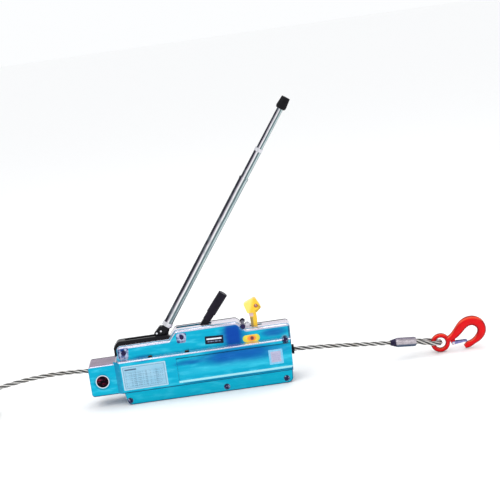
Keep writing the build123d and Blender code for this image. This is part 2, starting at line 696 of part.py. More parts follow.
# ---- anchor pin ---------------------------------------------------------------------------------
def anchor_pin():
    shank = cross_pin(*ANCHOR, ANCHOR_R, -NOSE_HALF, NOSE_HALF + 9)
    head = cross_pin(*ANCHOR, ANCHOR_HEAD_R, -NOSE_HALF - 1.5, -NOSE_HALF + 2.4)
    pin = shank + head
    x, z = ANCHOR
    return pin - rod((x, CLIP_Y, z - 20), (x, CLIP_Y, z + 20), CLIP_R + 0.1)


def anchor_clip():
    """Hairpin clip through the end of the anchor pin."""
    x, z = ANCHOR
    leg = rod((x, CLIP_Y, z - 17), (x, CLIP_Y, z + 24), CLIP_R - 0.12)
    top = Solid.make_torus(7, CLIP_R, Plane(origin=(x - 7, CLIP_Y, z + 24), z_dir=(0, 1, 0)))
    grip = rod((x - 14, CLIP_Y, z + 24), (x - 13.2, CLIP_Y, z - 12), CLIP_R - 0.12)
    return fuse(leg, top, grip)


# ---- rope, ferrule, eye -------------------------------------------------------------------------
FRONT_ROUTE = [tuple(on_line(270)), (320, 1.5, 71.0), (395, 10, 62.0), (468, 20, 51.5), tuple(FERRULE_A)]
TAIL_ROUTE = [tuple(on_line(NOSE_X)), (-315, 0, 97.5), (-405, 0.5, 95.5), (-500, -1.5, 83.0),
              (-575, -5, 68.0), (-640, -15, 53.0), (-705, -30, 40.5), (-752, -39.5, 33.0)]


def rope_along(points, name):
    """A round rope along straight runs joined by arcs as large as the runs allow."""
    points = [Vector(*p) for p in points]
    radii = []
    for a, b, c in zip(points, points[1:], points[2:]):
        turn = (b - a).get_angle(c - b)
        run = min((b - a).length, (c - b).length)
        radii.append(0.45 * run / tan(radians(turn) / 2))
    path = FilletPolyline(*points, radius=radii)
    section = Plane(origin=points[0], z_dir=points[1] - points[0]) * Circle(ROPE_R)
    rope = sweep(section, path=path)
    ratio = rope.volume / (pi * ROPE_R ** 2 * path.length)
    print(name, "length", round(path.length, 1), "radii", [round(r) for r in radii],
          "volume over section times length", round(ratio, 4))
    return rope


def ferrule():
    """Pressed aluminium sleeve that closes the rope's eye, with a long taper round the rope."""
    along = (FERRULE_B - FERRULE_A).normalized()
    a, b = FERRULE_A, FERRULE_B
    bevel = along * 4
    taper = cone(a - along * FERRULE_NOSE, a + bevel, ROPE_R + 1.2, FERRULE_R)
    rope = (a - Vector(*FRONT_ROUTE[-2])).normalized()
    taper = taper - rod(a - rope * (FERRULE_NOSE + 5), a, ROPE_R + 0.15)
    return fuse(taper, rod(a + bevel, b - bevel, FERRULE_R), cone(b - bevel, b, FERRULE_R, FERRULE_R - 1.5))


def loop_plane():
    along = (LOOP_TIP - FERRULE_B).normalized()
    return Plane(origin=FERRULE_B, x_dir=along, z_dir=along.cross(Vector(0, 1, 0)) * -1)


def loop_wire(offset):
    """Centreline of the eye, or of something a given distance inside it, in its own plane."""
    radius = LOOP_R - offset
    centre = (LOOP_TIP - FERRULE_B).length - LOOP_R
    lean = radians(LOOP_LEAN)
    top = (centre - radius * sin(lean), radius * cos(lean))
    low = (0.0, top[1] - top[0] * tan(lean))
    legs = Line(low, top)
    crown = ThreePointArc(top, (centre + radius, 0), (top[0], -top[1]))
    back = Line((top[0], -top[1]), (low[0], -low[1]))
    return [legs, crown, back]


def rope_eye():
    """The rope's eye, from the ferrule round the thimble and back."""
    place = loop_plane()
    path = Wire([place.from_local_coords(e) for line in loop_wire(0.0) for e in line.edges()])
    section = Plane(origin=path @ 0, z_dir=path % 0) * Circle(ROPE_R)
    return sweep(section, path=path)


def thimble():
    """Grooved steel liner inside the rope's eye."""
    place = loop_plane()
    crown = loop_wire(ROPE_R + THIMBLE_GAP)[1]
    path = Wire([place.from_local_coords(e) for e in crown.edges()])
    section = Plane(origin=path @ 0, z_dir=path % 0, x_dir=place.z_dir) * Rectangle(10.0, 1.6)
    return sweep(section, path=path)


def hank_middles():
    """Middle x of the hank's round ends, the one near the machine first."""
    near = HANK_RIGHT - HANK_OUT
    return near, near - HANK_RUN


def oval_prism(half, z_low, z_high):
    """An upright oval of the hank's length, with straight sides and round ends of that radius."""
    near, far = hank_middles()
    ends = [Solid.make_cylinder(half, z_high - z_low, Plane(origin=(x, 0, z_low))) for x in (near, far)]
    return fuse(block(far, near, -half, half, z_low, z_high), *ends)


def rope_hank():
    """Outer shape of the spare rope, wound into a flat oval hank, less its ties and both ends of the rope."""
    ring = oval_prism(HANK_OUT, 0, HANK_TOP) - oval_prism(HANK_IN, -1, HANK_TOP + 1)
    rims = [e for e in ring.edges() if abs(e.center().Z - HANK_TOP) < 0.01 or abs(e.center().Z) < 0.01]
    ring = ring.fillet(4.0, rims)
    for band in tie_bands():
        ring = ring - band
    ring = ring - rope_along(TAIL_ROUTE, "rope_tail")
    return ring - rod(tip_start(), tip_start() - Vector(TIP_LENGTH, 0, 0), ROPE_R + 0.4)


def tie_frame(width, inner, outer, low, high, thick, corner):
    """A band round a bundle whose rope runs along x."""
    def ring(grow):
        points = [(inner - grow, low - grow), (outer + grow, low - grow), (outer + grow, high + grow),
                  (inner - grow, high + grow)]
        face = Face(Wire.make_polygon([(0, y, z) for y, z in points], close=True))
        face = face.fillet_2d(corner + grow, face.vertices())
        return Solid.extrude(face, Vector(width, 0, 0)).moved(Location((-width / 2, 0, 0)))
    return ring(thick) - ring(0)


def tie_places():
    """Where the three ties sit: on each long side, and round the far end. The turn is about z."""
    near, far = hank_middles()
    return [Location(((near + far) / 2, 0, 0), (0, 0, 0)), Location((far + 48, 0, 0), (0, 0, 180)),
            Location((far, 0, 0), (0, 0, 90))]


def tie_bands():
    low = TIE_LOW + TIE_THICK
    band = tie_frame(TIE_WIDTH, HANK_IN + 0.2, HANK_OUT - TIE_THICK, low, HANK_TOP, TIE_THICK, 5.0)
    return [place * band for place in tie_places()]


def rope_ties():
    """Nylon ties round the hank, each with its lock on top."""
    along, across, high = TIE_HEAD
    z = HANK_TOP + TIE_THICK
    lock = block(-along / 2, along / 2, LOCK_Y, LOCK_Y + across, z - 0.5, z + high)
    return group(band + place * lock for band, place in zip(tie_bands(), tie_places()))


def tip_start():
    """Where the fused end begins, on the floor beside the far end of the hank."""
    return Vector(hank_middles()[1] - TIP_START, ROPE_R - HANK_OUT + 0.7, ROPE_R)


def rope_tip():
    """Fused and tapered end of the rope, lying straight on from the outermost turn."""
    start = tip_start()
    shoulder = start - Vector(TIP_LENGTH - TIP_TAPER, 0, 0)
    return rod(start, shoulder, ROPE_R) + cone(shoulder, start - Vector(TIP_LENGTH, 0, 0), ROPE_R, TIP_END_R)


# ---- hook ---------------------------------------------------------------------------------------
# Centre line of the hook body, with the width in its plane and across it.
HOOK_LINE = [(670.5, 30, 16.5, 15), (684.5, 37, 19, 16), (701, 51.5, 24, 17), (716.5, 67, 26, 18),
             (738.5, 73.5, 26, 18), (757, 63.5, 25, 18), (763, 45.5, 23, 17), (753.5, 27, 20, 16),
             (735, 15, 16, 14), (714.5, 5.6, 10, 10)]


def hook():
    """Forged hook: a ring for the rope's eye and a body lofted along its centre line."""
    sections = []
    last = len(HOOK_LINE) - 1
    for i, (x, z, wide, deep) in enumerate(HOOK_LINE):
        before = HOOK_LINE[max(i - 1, 0)]
        after = HOOK_LINE[min(i + 1, last)]
        along = Vector(after[0] - before[0], 0, after[1] - before[1])
        place = Plane(origin=(x, HOOK_Y, z), z_dir=along, x_dir=(0, 1, 0))
        sections.append(place * Ellipse(deep / 2, wide / 2))
    body = loft(sections)
    centre = (HOOK_EYE[0], HOOK_Y, HOOK_EYE[1])
    middle = (HOOK_EYE_R + HOOK_HOLE_R) / 2
    ring = Solid.make_torus(middle, (HOOK_EYE_R - HOOK_HOLE_R) / 2, Plane(origin=centre, z_dir=(0, 1, 0)))
    return fuse(ring, body, latch_lug())


def latch_lug():
    """Ear under the hook's neck that carries the latch."""
    x, z = LATCH_PIVOT
    lug = slab(bar_outline((683, 33), LATCH_PIVOT, 7.5, 5.0), -3.9, 3.9) + cross_pin(x, z, 5.0, -3.9, 3.9)
    return Location((0, HOOK_Y, 0)) * (lug - cross_pin(x, z, LATCH_PIN_R + RUNNING, -10, 10))


def hook_latch():
    """Pressed steel latch across the hook's mouth: two cheeks and a web."""
    x, z = LATCH_PIVOT
    tip_x, tip_z = LATCH_TIP
    outline = [(x - 4.5, z - 4.5, 4), (tip_x, tip_z - 2, 1), (tip_x, tip_z + 1.5, 1), (x - 4.5, z + 4.5, 4)]
    latch = slab(outline, -5.4, 5.4)
    hollow = [(x - 8, z - 8), (x + 7.5, z - 8), (x + 9, z - 3.0), (tip_x - 4, tip_z - 0.6),
              (tip_x - 4, tip_z + 8), (x - 8, z + 8)]
    latch = latch - slab(hollow, -4.2, 4.2) - cross_pin(x, z, LATCH_PIN_R + RUNNING, -10, 10)
    return Location((0, HOOK_Y, 0)) * latch


def latch_pin():
    """Rivet that the latch turns on."""
    x, z = LATCH_PIVOT
    rivet = cross_pin(x, z, LATCH_PIN_R, -6.2, 6.2)
    heads = [cross_pin(x, z, 3.2, -6.9, -5.6), cross_pin(x, z, 3.2, 5.6, 6.9)]
    return Location((0, HOOK_Y, 0)) * fuse(rivet, *heads)


def main():
    os.makedirs("parts", exist_ok=True)
    front, rear = casing_halves()
    nodes = {
        "front_shell": front,
        "rear_shell": rear,
        "casing_bolts": casing_bolts(),
        "casing_nuts": casing_nuts(),
        "lever_shroud": lever_shroud(),
        "hook_end_rope_guide": rope_guide(240, 264, 269.5, 12.5, 10.5),
        "anchor_end_rope_guide": rope_guide(-250.5, -262.5, -264.5, 9.0, 9.0),
        "crank_bushes": crank_bushes(),
        "nameplate": plate(-176, -62, 42, 106, -MIDDLE_HALF, 0.6, 2),
        "load_label": plate(202, 238, 55, 94, -PANEL_HALF, 0.6, 1.5),
        "maker_plate": plate(46, 93, 127, 148, -UPPER_HALF, 0.6, 1.5, 3),
        "oval_label": plate(142, 186, 118.4, 137, -UPPER_HALF, 0.6, 9),
        "forward_crank": forward_crank(),
        "forward_lever_arm": forward_arm(),
        "shear_pins": shear_pins(),
        "handle_lower_tube": handle_lower(),
        "handle_collar": handle_collar(),
        "handle_lower_ring": lower_ring(),
        "handle_middle_tube": handle_middle(),
        "handle_middle_ring": middle_ring(),
        "handle_upper_tube": handle_upper(),
        "handle_cap": handle_cap(),
        "reverse_crank": reverse_crank(),
        "reverse_lever_arm": reverse_arm(),
        "reverse_lever_sleeve": reverse_sleeve(),
        "rear_side_plates": rear_plates(),
        "rear_lower_jaw": jaw(REAR_JAW_X, False),
        "rear_upper_jaw": jaw(REAR_JAW_X, True),
        "rear_jaw_pins": jaw_pins(REAR_JAW_X),
        "front_side_plates": front_plates(),
        "front_lower_jaw": jaw(FRONT_JAW_X, False),
        "front_upper_jaw": jaw(FRONT_JAW_X, True),
        "front_jaw_pins": jaw_pins(FRONT_JAW_X),
        "rear_return_spring": return_spring(-62, 2),
        "front_return_spring": return_spring(83, 147),
        "release_lever": release_lever(),
        "release_lever_bush": release_insert(),
        "release_spindle": release_spindle(),
        "release_rod": release_rod(),
        "safety_catch": safety_catch(),
        "catch_bracket": catch_bracket(),
        "catch_pin": catch_pin(),
        "anchor_pin": anchor_pin(),
        "anchor_clip": anchor_clip(),
        "rope_inside": rod(on_line(NOSE_X), on_line(270), ROPE_R),
        "rope_front": rope_along(FRONT_ROUTE, "rope_front"),
        "rope_tail": rope_along(TAIL_ROUTE, "rope_tail"),
        "rope_hank": rope_hank(),
        "rope_ties": rope_ties(),
        "rope_tip": rope_tip(),
        "ferrule": ferrule(),
        "rope_eye": rope_eye(),
        "thimble": thimble(),
        "hook": hook(),
        "hook_latch": hook_latch(),
        "latch_pin": latch_pin(),
    }
    for name, shape in nodes.items():
        export_step(shape, "parts/" + name + ".step")


main()
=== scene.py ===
"""Looks of a hand-operated wire rope hoist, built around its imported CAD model. Units are metres."""
import math

import bmesh
import bpy
from mathutils import Matrix, Vector


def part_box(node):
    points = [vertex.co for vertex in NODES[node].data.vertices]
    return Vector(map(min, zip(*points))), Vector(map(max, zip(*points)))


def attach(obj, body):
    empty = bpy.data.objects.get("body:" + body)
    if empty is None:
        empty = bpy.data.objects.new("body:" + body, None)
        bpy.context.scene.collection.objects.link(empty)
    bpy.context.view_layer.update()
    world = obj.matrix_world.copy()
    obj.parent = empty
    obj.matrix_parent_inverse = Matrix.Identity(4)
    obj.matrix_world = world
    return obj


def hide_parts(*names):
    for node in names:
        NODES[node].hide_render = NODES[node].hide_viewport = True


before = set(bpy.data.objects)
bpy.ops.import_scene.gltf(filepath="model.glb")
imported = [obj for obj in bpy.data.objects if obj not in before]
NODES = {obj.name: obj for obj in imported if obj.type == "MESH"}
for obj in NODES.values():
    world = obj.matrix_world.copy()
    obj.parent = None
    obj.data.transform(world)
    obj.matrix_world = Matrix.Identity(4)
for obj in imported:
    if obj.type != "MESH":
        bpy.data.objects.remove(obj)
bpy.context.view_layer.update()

ROPE_R = 0.00575                 # wire rope, 11.5 mm across
ROPE_LAY = 0.095                 # one turn of a strand along the rope
STRANDS = 4
CORE_SHARE = 0.66                # the grooves between strands reach no deeper than this share of ROPE_R
FRONT_STEP = 0.0025              # distances between the rings of a rope's mesh
TAIL_STEP = 0.004
EYE_STEP = 0.0018
FINE_SIDES = 40                  # points round a rope that is seen close up
HANK_SIDES = 24


# ---- camera, lights and floor ----------------------------------------------------------------------
def look_camera():
    """A long lens, a little above the machine and leaning over, so that the machine lies aslant."""
    distance = 3.5
    elevation = math.radians(12.6)
    roll = math.radians(8.1)
    target = Vector((0.1925, 0.0, 0.350))
    ahead = Vector((0, math.cos(elevation), -math.sin(elevation)))
    right = Vector((1, 0, 0))
    up = right.cross(ahead)
    turned_right = right * math.cos(roll) - up * math.sin(roll)
    turned_up = right * math.sin(roll) + up * math.cos(roll)
    camera = bpy.data.cameras.new("camera")
    camera.lens = 98.98
    camera.sensor_width = 36.0
    camera.clip_end = 50.0
    holder = bpy.data.objects.new("camera", camera)
    turn = Matrix((turned_right, turned_up, -ahead)).transposed().to_4x4()
    holder.matrix_world = Matrix.Translation(target - ahead * distance) @ turn
    bpy.context.scene.collection.objects.link(holder)
    bpy.context.scene.camera = holder


def area_light(name, place, aim, size, power):
    """A soft square light that points at a place."""
    data = bpy.data.lights.new(name, "AREA")
    data.size = size
    data.energy = power
    lamp = bpy.data.objects.new(name, data)
    lamp.location = place
    lamp.rotation_euler = (Vector(aim) - Vector(place)).to_track_quat("-Z", "Y").to_euler()
    bpy.context.scene.collection.objects.link(lamp)


def studio():
    """Pale floor, white surroundings and three soft lights."""
    scene = bpy.context.scene
    scene.view_settings.view_transform = "Standard"
    world = bpy.data.worlds.new("studio")
    world.use_nodes = True
    background = world.node_tree.nodes["Background"]
    background.inputs["Color"].default_value = (0.98, 0.99, 1.0, 1)
    background.inputs["Strength"].default_value = 1.0
    scene.world = world
    middle = (0.1, 0.0, 0.2)
    area_light("key", (-1.1, -1.6, 2.6), middle, 1.6, 20)
    area_light("top", (0.5, 0.9, 2.8), middle, 1.8, 16)
    area_light("fill", (2.2, -2.2, 1.2), middle, 1.4, 6)
    mesh = bpy.data.meshes.new("floor")
    builder = bmesh.new()
    bmesh.ops.create_grid(builder, x_segments=1, y_segments=1, size=14)
    builder.to_mesh(mesh)
    builder.free()
    floor = bpy.data.objects.new("floor", mesh)
    scene.collection.objects.link(floor)
    paint = bpy.data.materials.new("floor")
    paint.use_nodes = True
    shader = paint.node_tree.nodes["Principled BSDF"]
    shader.inputs["Base Color"].default_value = (0.97, 0.97, 0.97, 1)
    shader.inputs["Roughness"].default_value = 0.9
    mesh.materials.append(paint)


# ---- material tools --------------------------------------------------------------------------------
def colour(red, green, blue):
    """A display colour, each part from 0 to 255, as the linear one that shaders take."""
    parts = [c / 255 for c in (red, green, blue)]
    return tuple(c / 12.92 if c <= 0.04045 else ((c + 0.055) / 1.055) ** 2.4 for c in parts) + (1.0,)


class Paint:
    """A material under construction. Values are numbers, colours, or the output sockets of its nodes."""

    def __init__(self, name, **constants):
        self.material = bpy.data.materials.new(name)
        self.material.use_nodes = True
        self.tree = self.material.node_tree
        self.shader = self.tree.nodes["Principled BSDF"]
        for socket, value in constants.items():
            self.shader.inputs[socket.replace("_", " ").title().replace("Ior", "IOR")].default_value = value
        self.coords = self.tree.nodes.new("ShaderNodeTexCoord")
        self.place = self.coords.outputs["Object"]
        self.x, self.y, self.z = self.parts(self.place)

    def node(self, kind, inputs=(), **settings):
        made = self.tree.nodes.new(kind)
        for name, value in settings.items():
            setattr(made, name, value)
        for socket, value in dict(inputs).items():
            if isinstance(value, bpy.types.NodeSocket):
                self.tree.links.new(value, made.inputs[socket])
            else:
                made.inputs[socket].default_value = value
        return made

    def parts(self, vector):
        """The x, y and z of a vector."""
        return self.node("ShaderNodeSeparateXYZ", {0: vector}).outputs[:]

    def normal(self):
        """The surface's own direction, which moves with the piece."""
        return self.parts(self.coords.outputs["Normal"])

    def math(self, operation, a, b=0.0):
        return self.node("ShaderNodeMath", {0: a, 1: b}, operation=operation).outputs[0]

    def mix(self, share, a, b):
        return self.node("ShaderNodeMix", {0: share, 6: a, 7: b}, data_type="RGBA").outputs[2]

    def blend(self, share, a, b):
        """The same for plain numbers."""
        return self.node("ShaderNodeMix", {0: share, 2: a, 3: b}, data_type="FLOAT").outputs[0]

    def ramp(self, value, *stops):
        """A colour for each value from 0 to 1: stops are pairs of a value and a colour."""
        made = self.node("ShaderNodeValToRGB", {0: value})
        marks = made.color_ramp.elements
        while len(marks) < len(stops):
            marks.new(0.5)
        for mark, (spot, tone) in zip(marks, stops):
            mark.position = spot
            mark.color = tone
        return made.outputs[0]

    def noise(self, scale, detail=2.0, stretch=(1, 1, 1), rough=0.5):
        scaled = self.node("ShaderNodeVectorMath", {0: self.place, 1: stretch}, operation="MULTIPLY")
        made = self.node("ShaderNodeTexNoise", {"Vector": scaled.outputs[0], "Scale": scale,
                                                "Detail": detail, "Roughness": rough})
        return made.outputs["Fac"]

    def step(self, value, low, high):
        """0 below low, 1 above high, smooth between; high may be the smaller one."""
        flip = low > high
        ends = {1: min(low, high), 2: max(low, high), 3: float(flip), 4: float(not flip)}
        return self.node("ShaderNodeMapRange", {0: value, **ends}, interpolation_type="SMOOTHSTEP").outputs[0]

    def both(self, *masks):
        """Masks and numbers multiplied together."""
        whole = masks[0]
        for mask in masks[1:]:
            whole = self.math("MULTIPLY", whole, mask)
        return whole

    def either(self, *masks):
        """The largest of some masks."""
        whole = masks[0]
        for mask in masks[1:]:
            whole = self.math("MAXIMUM", whole, mask)
        return whole

    def band(self, value, low, high, soft):
        """1 between two values, with soft edges."""
        return self.both(self.step(value, low - soft, low + soft), self.step(value, high + soft, high - soft))

    def window(self, low, high, soft):
        """1 inside a rectangle of x and z."""
        return self.both(self.band(self.x, low[0], high[0], soft), self.band(self.z, low[1], high[1], soft))

    def spot(self, centre, radii, warp=0.0):
        """1 in the middle of an ellipse of x and z, 0 outside, its edge made uneven."""
        across = self.math("DIVIDE", self.math("SUBTRACT", self.x, centre[0]), radii[0])
        upward = self.math("DIVIDE", self.math("SUBTRACT", self.z, centre[1]), radii[1])
        away = self.math("ADD", self.math("MULTIPLY", across, across), self.math("MULTIPLY", upward, upward))
        if warp:
            away = self.math("ADD", away, self.math("MULTIPLY", self.noise(14.0), warp))
        return self.step(away, 1.0, 0.15)

    def stripes(self, value, pitch, share):
        """1 on lines that repeat along a value."""
        part = self.math("FRACT", self.math("DIVIDE", value, pitch))
        return self.math("LESS_THAN", part, share)

    def finish(self, base=None, roughness=None, metallic=None, height=None, depth=0.0002):
        """Link what varies over the surface to the shader."""
        for socket, value in (("Base Color", base), ("Roughness", roughness), ("Metallic", metallic)):
            if isinstance(value, bpy.types.NodeSocket):
                self.tree.links.new(value, self.shader.inputs[socket])
            elif value is not None:
                self.shader.inputs[socket].default_value = value
        if height is not None:
            bump = self.node("ShaderNodeBump", {"Height": height, "Distance": depth, "Strength": 1.0})
            self.tree.links.new(bump.outputs[0], self.shader.inputs["Normal"])
        return self.material


def worn(paint, low, high, scale=60.0, stretch=(1, 1, 1)):
    """Uneven roughness between two values."""
    return paint.blend(paint.noise(scale, 4.0, stretch), low, high)


# ---- casing ----------------------------------------------------------------------------------------
# Places on it are (x, z): a spot has a middle, its radii and how uneven its edge is, and a window has its
# lowest and highest corner.
# The deep blue spots, the pool under the brow and the patch in the long panel are painted reflections.
PAINTED_REFLECTION_SPOTS = (((0.130, 0.093), (0.185, 0.034), 0.6), ((0.120, 0.143), (0.058, 0.048), 0.5),
              ((0.225, 0.135), (0.050, 0.016), 0.4), ((0.010, 0.092), (0.09, 0.012), 0.9),
              ((-0.120, 0.118), (0.04, 0.012), 0.8))
PAINTED_REFLECTION_BROW = ((0.100, 0.116), (0.138, 0.170))
PAINTED_REFLECTION_PANEL = ((0.060, 0.068), (0.190, 0.108))
POCKETS = (((-0.1805, 0.117), (-0.1500, 0.1495)), ((-0.0275, 0.1395), (0.0025, 0.1685)))
POCKET_MOUTH = 0.0304            # the pockets' floors lie nearer the casing's middle than this
BOLTS = ((0.147, 0.161), (0.249, 0.114), (-0.166, 0.012), (0.085, 0.013), (0.240, 0.013))
BOLT_RIM_R = 0.0125
BOLT_RIM_OUT = 0.044             # and the bolts' rims nearer than this
GROOVE_SHADOW_LINE = (0.0375, 0.0400)   # heights of the painted shadow line under the long panel
LOW_LEDGE = (0.030, 0.050)
SHADE_CHANGE = (0.09, 0.10)      # heights over which the shade under the ledges changes
NOSE_START = (-0.186, -0.192)
DECK_START = (0.147, 0.150)      # heights over which the decks begin
# Where the painted dark reflection along the far edges of the decks and the nose begins, as distances from
# the middle.
DECK_FAR_EDGE = (0.0095, 0.0125)
NOSE_FAR_EDGE = (0.0265, 0.0300)


def lacquer_sides_and_painted_light(p, streaks, clouds, fine):
    """Cyan lacquer, greener low down, with painted deep blue reflections, a painted highlight band, and
    painted shade underneath, under the long panel and on the faces that look left and right.
    """
    nx, _, nz = p.normal()
    cyan = p.mix(streaks, colour(0, 142, 182), colour(8, 186, 214))
    cyan = p.mix(p.both(p.step(fine, 0.45, 0.75), 0.5), cyan, colour(80, 212, 236))
    # Painted reflections: deep blue in the spots, a pool under the brow and a patch in the long panel.
    deep = p.mix(fine, colour(6, 42, 128), colour(18, 84, 180))
    reach = p.either(*(p.spot(*place) for place in PAINTED_REFLECTION_SPOTS))
    side = p.mix(p.math("MULTIPLY", reach, p.blend(clouds, 0.6, 0.95)), cyan, deep)
    brow_reflection = p.both(p.window(*PAINTED_REFLECTION_BROW, 0.008), p.blend(clouds, 0.75, 1.0))
    side = p.mix(brow_reflection, side, colour(6, 62, 160))
    panel = p.both(p.window(*PAINTED_REFLECTION_PANEL, 0.016), p.step(p.z, 0.062, 0.104))
    side = p.mix(p.math("MULTIPLY", panel, 0.75), side, colour(4, 86, 172))
    low = p.both(p.step(p.z, 0.050, 0.020), p.blend(streaks, 0.2, 0.7))
    side = p.mix(low, side, colour(0, 166, 188))
    # A painted highlight band along the middle of the side.
    painted_sheen = p.both(p.band(p.z, 0.060, 0.076, 0.010), p.step(p.x, -0.06, 0.02), p.blend(streaks, 0.1, 0.55))
    side = p.mix(painted_sheen, side, colour(70, 205, 232))
    # A painted shadow line under the long panel.
    line = p.both(p.band(p.z, *GROOVE_SHADOW_LINE, 0.0008), p.step(p.x, -0.03, -0.015))
    side = p.mix(p.math("MULTIPLY", line, 0.8), side, colour(4, 62, 120))
    under = p.step(nz, -0.20, -0.50)
    shade = p.mix(p.step(p.z, *SHADE_CHANGE), colour(2, 48, 104), colour(4, 54, 66))
    side = p.mix(p.math("MULTIPLY", under, p.blend(p.step(p.z, *SHADE_CHANGE), 0.85, 0.6)), side, shade)
    # Painted shade: dark navy on faces that look right, a duller blue on faces that look left.
    side = p.mix(p.both(p.step(nx, 0.25, 0.65), 0.75), side, colour(8, 40, 96))
    return p.mix(p.both(p.step(nx, -0.35, -0.75), 0.5), side, colour(40, 120, 170))


def bare_tops(p, fine):
    """Polished metal, dusky on the nose, with a painted dark reflection along the far edges, a painted blue
    reflection on the front fillets, and a painted highlight over cyan on the low ledge.
    """
    _, ny, nz = p.normal()
    bright = p.mix(p.noise(30.0, 3.0, (0.5, 1, 1)), colour(206, 196, 212), colour(250, 246, 252))
    nose = p.both(p.step(p.x, *NOSE_START), p.step(nz, 0.7, 0.9))
    bright = p.mix(nose, bright, p.mix(p.noise(40.0, 4.0), colour(98, 76, 100), colour(160, 140, 164)))
    # Painted dark reflection along the far edges of the decks and the nose.
    far_deck_reflection = p.both(p.step(p.y, *DECK_FAR_EDGE), p.step(p.z, *DECK_START), p.step(nz, 0.2, 0.5))
    bright = p.mix(far_deck_reflection, bright, colour(26, 22, 44))
    far_nose_reflection = p.both(nose, p.step(p.y, *NOSE_FAR_EDGE))
    bright = p.mix(far_nose_reflection, bright, colour(30, 22, 40))
    # Painted blue reflection on the front fillets.
    rounding_reflection = p.both(p.band(nz, 0.45, 0.80, 0.10), p.step(ny, -0.3, -0.5))
    bright = p.mix(p.both(rounding_reflection, p.blend(fine, 0.1, 0.8)), bright, colour(120, 132, 176))
    # Painted highlight along the low ledge's upper edge, cyan below it.
    ledge = p.band(p.z, *LOW_LEDGE, 0.002)
    ledge_highlight = p.mix(p.step(p.z, 0.0405, 0.0425), colour(30, 170, 206), colour(176, 232, 242))
    return p.mix(p.both(ledge, p.step(p.x, -0.05, -0.03)), bright, ledge_highlight)


def casing_finish():
    """Cyan-blue lacquer on the casing's sides, with painted reflections and shade, and bare polished metal
    wherever it faces upwards, with its own painted reflections and highlight.
    """
    p = Paint("casing_lacquer", specular_ior_level=0.2)
    streaks = p.noise(9.0, 5.0, (0.7, 0.7, 16.0), 0.6)
    clouds = p.noise(7.0)
    fine = p.noise(45.0, 4.0, (0.5, 1.0, 2.0))
    side = lacquer_sides_and_painted_light(p, streaks, clouds, fine)
    bright = bare_tops(p, fine)
    up = p.step(p.normal()[2], 0.28, 0.52)
    depth = p.math("ABSOLUTE", p.y)
    pockets = p.both(p.either(*(p.window(low, high, 0.0006) for low, high in POCKETS)),
                     p.step(depth, POCKET_MOUTH + 0.0002, POCKET_MOUTH - 0.0002))
    silver = p.mix(p.step(p.noise(130.0, 3.0), 0.35, 0.65), colour(28, 62, 128), colour(184, 196, 222))
    rims = p.either(*(p.spot(middle, (BOLT_RIM_R, BOLT_RIM_R)) for middle in BOLTS))
    bolt_rims = p.both(rims, p.step(depth, BOLT_RIM_OUT + 0.0005, BOLT_RIM_OUT - 0.0005))
    side = p.mix(p.either(pockets, p.both(bolt_rims, 0.6)), side, silver)
    base = p.mix(up, side, bright)
    bare = p.either(up, pockets, bolt_rims)
    rough = p.blend(bare, p.blend(streaks, 0.22, 0.40), p.blend(clouds, 0.16, 0.32))
    metal = p.blend(bare, 0.62, 0.9)
    grain = p.math("ADD", p.noise(420.0, 3.0), p.math("MULTIPLY", p.noise(60.0), 1.5))
    return p.finish(base, rough, metal, grain, 0.00012)


# ---- bare metals -----------------------------------------------------------------------------------
def bright_steel():
    """Machined steel, almost mirror bright."""
    p = Paint("bright_steel")
    tone = p.mix(p.noise(120.0, 4.0), colour(176, 176, 184), colour(232, 232, 236))
    return p.finish(tone, worn(p, 0.18, 0.34), 1.0, p.noise(600.0, 3.0), 0.00004)


def dark_steel():
    """Blackened forgings."""
    p = Paint("blackened_steel")
    tone = p.mix(p.noise(90.0, 5.0), colour(38, 36, 42), colour(92, 90, 98))
    return p.finish(tone, worn(p, 0.30, 0.50), 0.9, p.noise(500.0, 4.0), 0.00006)


def bolt_steel():
    """Dark violet oxide, with a small rubbed patch on each head."""
    p = Paint("bolt_steel", specular_ior_level=0.3)
    tone = p.mix(p.noise(160.0, 4.0), colour(16, 12, 44), colour(58, 50, 92))
    rubbed = p.both(p.step(p.noise(190.0, 3.0), 0.58, 0.66), p.step(p.math("ABSOLUTE", p.y), 0.030, 0.034))
    tone = p.mix(rubbed, tone, colour(176, 178, 206))
    return p.finish(tone, worn(p, 0.2, 0.42, 200.0), 0.85, p.noise(700.0, 3.0), 0.00005)


def bronze():
    """Sintered bearing bronze."""
    p = Paint("bearing_bronze")
    tone = p.mix(p.noise(300.0, 4.0), colour(150, 106, 52), colour(206, 164, 98))
    return p.finish(tone, worn(p, 0.28, 0.45, 300.0), 1.0, p.noise(900.0, 2.0), 0.00005)


def spring_steel():
    """Oiled spring wire."""
    p = Paint("oiled_spring_wire")
    tone = p.mix(p.noise(200.0, 3.0), colour(70, 72, 80), colour(140, 144, 152))
    return p.finish(tone, worn(p, 0.2, 0.35, 200.0), 1.0, p.noise(800.0, 2.0), 0.00003)


HANDLE_LEAN = math.radians(35.3)  # from upright, towards +x


